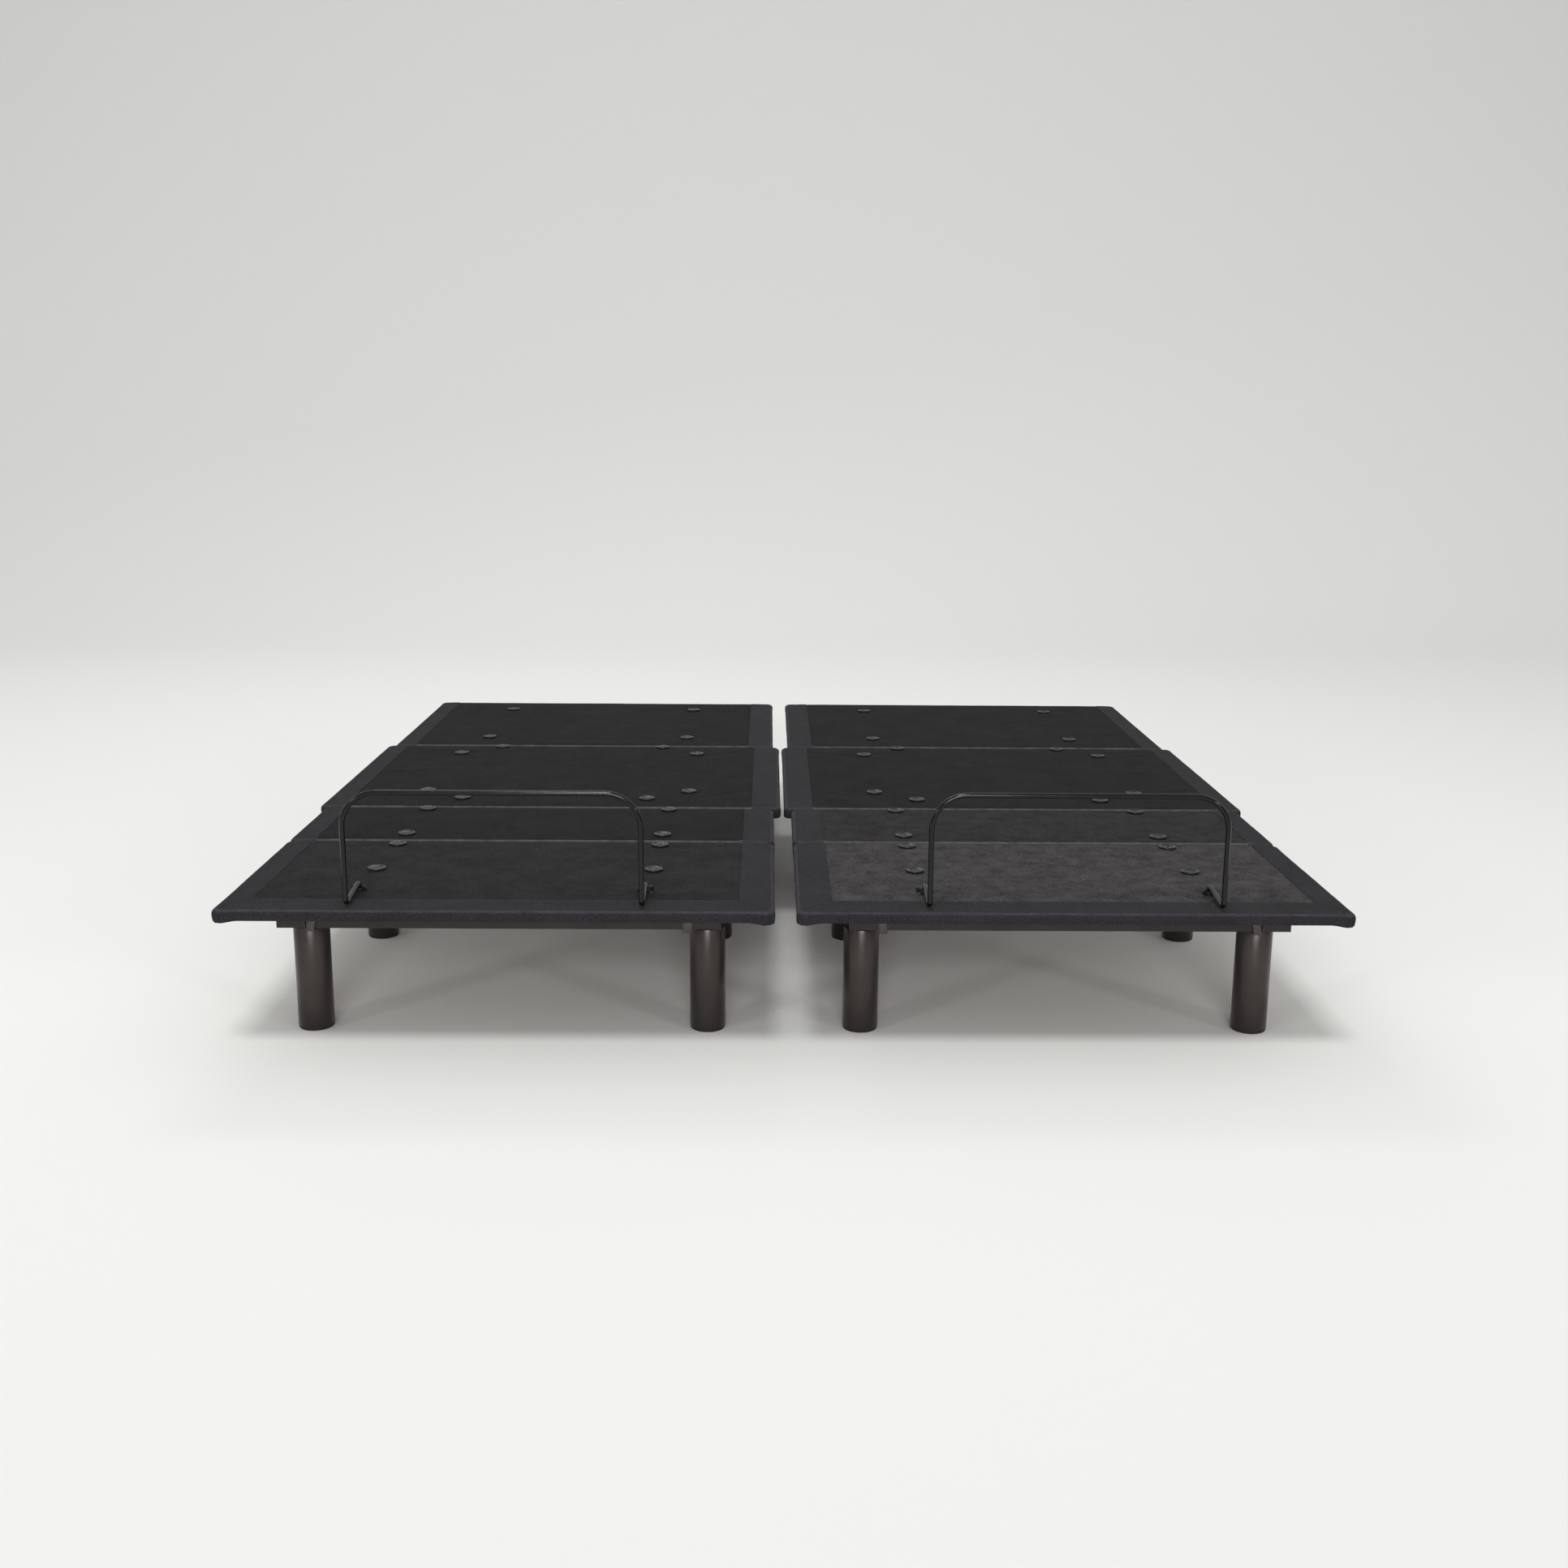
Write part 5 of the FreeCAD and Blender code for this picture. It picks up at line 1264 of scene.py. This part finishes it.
@dataclass
class FootStraps:
    """Bent steel clips round the foot end rail: a tongue between two cheeks, and a rivet."""

    tongue: float = 0.0145
    cheek: float = 0.0016
    spread: float = 0.0235
    pinch: float = 0.0035
    lean: float = 0.006
    rivet_out: float = 0.0165
    rivet: Sequence[tuple[float, float]] = (
        (0.0, 0.0), (0.0034, 0.0), (0.0034, 0.0008), (0.0024, 0.0019), (0.0, 0.0024),
    )

    def build(self) -> bpy.types.Object:
        """Model the four clips.

        Returns:
            The clips, as one piece.
        """
        form = bmesh.new()
        for low, high in solids_of("foot_straps"):
            middle, half_up = (low.x + high.x) / 2, (low.z + high.z) / 2
            left, right = middle - self.tongue / 2, middle + self.tongue / 2
            inward = -1 if abs(middle) < 0.45 else 1
            face = block(form, Vector((left, low.y + 0.0015, low.z)), Vector((right, low.y + 0.0035, high.z)))
            for vert in face:
                if vert.co.z > half_up and inward > 0:
                    vert.co.x -= math.copysign(self.lean, middle)
            sole = block(form, Vector((left, low.y + 0.0035, low.z)),
                         Vector((right, high.y - 0.001, low.z + 0.002)))
            bevel(form, all_round((*face, *sole)), 0.0004, 2)
            for way in (-1, 1):
                edge_x = middle + way * (self.spread / 2 - self.cheek / 2)
                cheek = block(form, Vector((edge_x - self.cheek / 2, low.y + 0.0005, low.z + 0.005)),
                              Vector((edge_x + self.cheek / 2, low.y + 0.0055, high.z)))
                for vert in cheek:
                    if vert.co.z < half_up:
                        vert.co.x -= way * self.pinch
                bevel(form, all_round(cheek), 0.0003, 2)
            rivet = bmesh.new()
            turned(rivet, self.rivet, Vector(), 24)
            rotate(rivet, 90, "X")
            place = (middle + math.copysign(self.rivet_out, middle) * inward, low.y + 0.0045, high.z - 0.006)
            bmesh.ops.translate(rivet, vec=place, verts=rivet.verts)
            merged(form, rivet)
        item = piece("foot_end_clips", form, (STRAP_STEEL,), "base", 30.0)
        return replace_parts(item, "foot_straps")


# ---------------------------------------------------------------- carried-over steel, wood and plastic


@dataclass
class CarriedParts:
    """Finishes for the CAD nodes whose shape already stands."""

    softened: float = 0.0007
    rounded: Sequence[str] = ("perimeter_rails", "cross_beams", "frame", "lift_arm", "actuator")
    finishes: dict[str, Finish] = field(default_factory=lambda: {
        "perimeter_rails": SHADED_RAIL_COAT, "rail_end_caps": BLACK_PLASTIC, "cross_beams": FRAME_COAT,
        "pivot_brackets": FRAME_COAT, "pivot_pins": ZINC, "rest_pads": RUBBER,
        "control_boxes": BLACK_PLASTIC, "power_inlets": BLACK_PLASTIC, "board": PLYWOOD, "frame": FRAME_COAT,
        "foot_links": FRAME_COAT, "lift_arm": FRAME_COAT, "rollers": NYLON, "actuator": BLACK_PLASTIC,
        "rod": PUSH_STEEL, "legs": LEG_COAT, "glides": BLACK_PLASTIC, "straps": STRAP_STEEL,
        "caps": CAP_PLASTIC, "bar": ENAMEL, "nuts": ZINC, "cover": BORDER,
    })

    def dress(self) -> None:
        """Give every CAD node its finish, and shown ones softened edges."""
        for name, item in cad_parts.items():
            word = next(key for key in (name, *self.finishes) if key in self.finishes and key in name)
            if name.endswith("actuator_rod"):
                word = "rod"
            material = dressed(self.finishes[word])
            for slot in item.material_slots:
                slot.material = material
            if not item.material_slots:
                item.data.materials.append(material)
            if not item.hide_render and word in self.rounded:
                self.soften(item)
            LOG.info("%s: %s", name, material.name)

    def soften(self, item: bpy.types.Object) -> None:
        """Join a node's loose triangles and round its hard edges a little."""
        weld = item.modifiers.new("weld", "WELD")
        weld.merge_threshold = 1e-5
        rounding = item.modifiers.new("edges", "BEVEL")
        rounding.width, rounding.segments = self.softened, 2
        rounding.limit_method, rounding.angle_limit = "ANGLE", math.radians(40)
        rounding.use_clamp_overlap = True


# ---------------------------------------------------------------- one base


@dataclass
class BedBase:
    """One of the two bases: its covers, caps, retainer and wing nuts."""

    side: Side
    # lighter felts towards the right front: partly painted pool of light, partly the right base's own lighter
    # felt
    felts: dict[tuple[Side, Section], Felt] = field(default_factory=lambda: {
        (Side.LEFT, Section.FOOT): FELT_LEFT_FOOT, (Side.RIGHT, Section.FOOT): FELT_RIGHT_FOOT,
        (Side.RIGHT, Section.THIGH): FELT_RIGHT_THIGH,
    })

    def cover_box(self, section: Section) -> Box:
        """The cover's box in the frame."""
        if section is Section.SEAT:
            return on_side("seat_covers", self.side)[0]
        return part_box(f"{self.side.label}_{section.value}_cover")

    def cap_spots(self, section: Section) -> list[Vector]:
        """Middle of each bolt cap of a panel, on the fabric."""
        node = "seat_bolt_caps" if section is Section.SEAT else f"{self.side.label}_{section.value}_bolt_caps"
        deck = self.cover_box(section)[1].z
        return [middle_of(box, deck) for box in on_side(node, self.side)]

    def ear_places(self) -> list[float]:
        """X of the hip and waist hinges, from the pins that go through them."""
        pins = [box for box in on_side("pivot_pins", self.side) if box[1].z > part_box("cross_beams")[1].z]
        return sorted({round(middle_of(box).x, 3) for box in pins})

    def creases(self, section: Section) -> Sequence[Crease]:
        """Folds of the felt near the seat panel's corners."""
        if section is not Section.SEAT:
            return ()
        outer = 1 if self.side is Side.LEFT else -1
        folds = (
            (0.055, -0.03, 0.30, -0.075, 0.0014, 0.010), (0.056, -0.07, 0.24, -0.13, 0.0012, 0.009),
            (0.056, -0.16, 0.20, -0.19, 0.0010, 0.010), (0.058, -0.30, 0.26, -0.27, 0.0010, 0.012),
            (0.058, 0.20, 0.22, 0.15, 0.0012, 0.010), (0.058, 0.09, 0.25, 0.06, 0.0010, 0.010),
            (-0.066, -0.05, -0.27, -0.13, 0.0014, 0.010), (-0.066, -0.10, -0.22, -0.20, 0.0011, 0.009),
            (-0.066, 0.10, -0.20, 0.05, 0.0012, 0.009), (-0.066, 0.17, -0.17, 0.11, 0.0010, 0.009),
        )
        return tuple(Crease((outer * x, y), (outer * end_x, end_y), rise, width)
                     for x, y, end_x, end_y, rise, width in folds)

    def build(self) -> None:
        """Model the base's new pieces."""
        for section in Section:
            seat = section is Section.SEAT
            body = "base" if seat else f"{self.side.label}_{section.value}_deck"
            spots = self.cap_spots(section)
            low, high = self.cover_box(section)
            cover = PanelCover(
                self.side, section, body, low, high, [Vector((spot.x, spot.y, 0)) for spot in spots],
                self.ear_places(), creases=self.creases(section),
                droop=0.005 if section in (Section.FOOT, Section.SEAT) else 0.002,
                seed=self.side.value * 3.7 + len(section.value),
                felt=self.felts.get((self.side, section), FELT_PLAIN),
            ).build()
            caps = BoltCaps(f"{self.side.label}_{section.value}_caps", body, spots).build()
            label = "seat" if seat else f"{self.side.label}_{section.value}"
            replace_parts(cover, "seat_covers" if seat else f"{label}_cover")
            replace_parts(caps, f"{label}_bolt_caps")
        RetainerBar(self.side).build()
        WingNuts(self.side).build()


# ---------------------------------------------------------------- stage, light and camera


@dataclass
class Studio:
    """Pale floor that curves up into a backdrop, soft boxes and the camera."""

    floor: Shade = (0.80, 0.80, 0.785)
    wall: Shade = (0.80, 0.80, 0.79)
    near: Shade = (0.57, 0.57, 0.56)
    near_reach: tuple[float, float] = (-4.5, -0.8)
    floor_half: float = 9.0
    floor_y: float = -5.0
    curve_steps: int = 18
    curve_step: float = 0.42
    wall_height: float = 7.0
    room: float = 0.62
    horizon: Shade = (0.26, 0.26, 0.26)
    zenith: Shade = (0.99, 1.0, 0.985)
    aim: Vector = field(default_factory=lambda: Vector((0, -0.2, 0.2)))
    eye: Vector = field(default_factory=lambda: Vector((-0.0326, -3.647, 1.077)))
    tilt: float = 12.6321
    turn: float = -0.6065
    roll: float = 0.4245
    lens: float = 38.02

    @staticmethod
    def pull(form: Form, edge: Sequence[bmesh.types.BMEdge], way: tuple[float, float, float]) -> list:
        """Extrude the backdrop's rear edge.

        Args:
            form: the floor so far.
            edge: its rear edge.
            way: how far the new edge goes.

        Returns:
            The new rear edge.
        """
        made = bmesh.ops.extrude_edge_only(form, edges=edge)["geom"]
        bmesh.ops.translate(form, vec=way, verts=verts_in(made))
        return [item for item in made if isinstance(item, bmesh.types.BMEdge)]

    def stage(self) -> None:
        """Build the floor and backdrop."""
        form = bmesh.new()
        bmesh.ops.create_grid(form, x_segments=1, y_segments=1, size=self.floor_half)
        bmesh.ops.translate(form, vec=(0, self.floor_y, 0), verts=form.verts)
        rear = self.floor_y + self.floor_half - 0.1
        edge = [item for item in form.edges if all(vert.co.y > rear for vert in item.verts)]
        for step in range(self.curve_steps):
            angle = math.radians(90 / self.curve_steps * (step + 0.5))
            way = (0, self.curve_step * math.cos(angle), self.curve_step * math.sin(angle))
            edge = self.pull(form, edge, way)
        self.pull(form, edge, (0, 0, self.wall_height))
        mesh = bpy.data.meshes.new("studio_floor")
        form.to_mesh(mesh)
        form.free()
        mesh.shade_smooth()
        graph = Graph("studio_floor")
        split = graph.add("SeparateXYZ")
        graph.join(graph.place(), split.inputs["Vector"])
        height = graph.maths("DIVIDE", split.outputs["Z"], 4.0, True)
        ahead = graph.spread(split.outputs["Y"], 1.0, 0.0, *self.near_reach)
        colour = graph.ramp(height, ((0.0, self.floor), (0.9, self.wall)))
        graph.paint(graph.blend(ahead, colour, self.near))
        graph.set(roughness=0.9, specular_ior_level=0.1)
        mesh.materials.append(graph.material)
        linked("studio_floor", mesh)

    def softbox(self, name: str, place: Vector, size: tuple[float, float], power: float) -> None:
        """Hang a rectangular white light that points at the bed.

        Args:
            name: the light's name.
            place: where it hangs.
            size: width and height.
            power: watts.
        """
        light = bpy.data.lights.new(name, "AREA")
        light.shape, light.size, light.size_y = "RECTANGLE", *size
        light.energy = power
        item = linked(name, light)
        item.location = place
        item.rotation_mode = "QUATERNION"
        item.rotation_quaternion = (self.aim - place).to_track_quat("-Z", "Y")

    def lights(self) -> None:
        """Hang the soft boxes and set the room light."""
        self.softbox("key_box", Vector((-0.6, -5.5, 9.5)), (2.4, 1.8), 430.0)
        self.softbox("low_box", Vector((0.0, -12.0, 3.1)), (4.0, 1.0), 640.0)
        self.softbox("left_box", Vector((-7.5, -8.2, 3.4)), (1.1, 1.1), 115.0)
        self.softbox("right_box", Vector((7.5, -8.2, 3.4)), (1.1, 1.1), 115.0)
        self.softbox("rear_box", Vector((-1.2, 3.6, 4.4)), (2.6, 0.9), 45.0)
        world = bpy.data.worlds.new("room")
        world.use_nodes = True
        tree = world.node_tree
        ground = tree.nodes["Background"]
        ground.inputs["Strength"].default_value = self.room
        source = tree.nodes.new("ShaderNodeTexCoord")
        split = tree.nodes.new("ShaderNodeSeparateXYZ")
        ramp = tree.nodes.new("ShaderNodeValToRGB")
        low, high = ramp.color_ramp.elements
        low.position, low.color = 0.12, (*self.horizon, 1)
        high.position, high.color = 0.62, (*self.zenith, 1)
        tree.links.new(source.outputs["Generated"], split.inputs["Vector"])
        tree.links.new(split.outputs["Z"], ramp.inputs["Fac"])
        tree.links.new(ramp.outputs["Color"], ground.inputs["Color"])
        bpy.context.scene.world = world
        bpy.context.scene.view_settings.view_transform = "Standard"

    def camera(self) -> None:
        """Set up the camera."""
        data = bpy.data.cameras.new("camera")
        data.lens, data.sensor_width = self.lens, 36.0
        data.clip_end = 60.0
        item = linked("camera", data)
        turn = Matrix.Rotation(math.radians(self.turn), 4, "Z")
        tilt = Matrix.Rotation(math.radians(90 - self.tilt), 4, "X")
        roll = Matrix.Rotation(math.radians(self.roll), 4, "Z")
        item.matrix_world = Matrix.Translation(self.eye) @ turn @ tilt @ roll
        bpy.context.scene.camera = item

    def build(self) -> None:
        """Set up stage, lights and camera."""
        self.stage()
        self.lights()
        self.camera()


def main() -> None:
    """Build every piece in order."""
    logging.basicConfig(level=logging.INFO, format="%(message)s")
    Studio().build()
    for side in Side:
        BedBase(side).build()
    Legs().build()
    FootStraps().build()
    CarriedParts().dress()


if __name__ == "__main__":
    main()
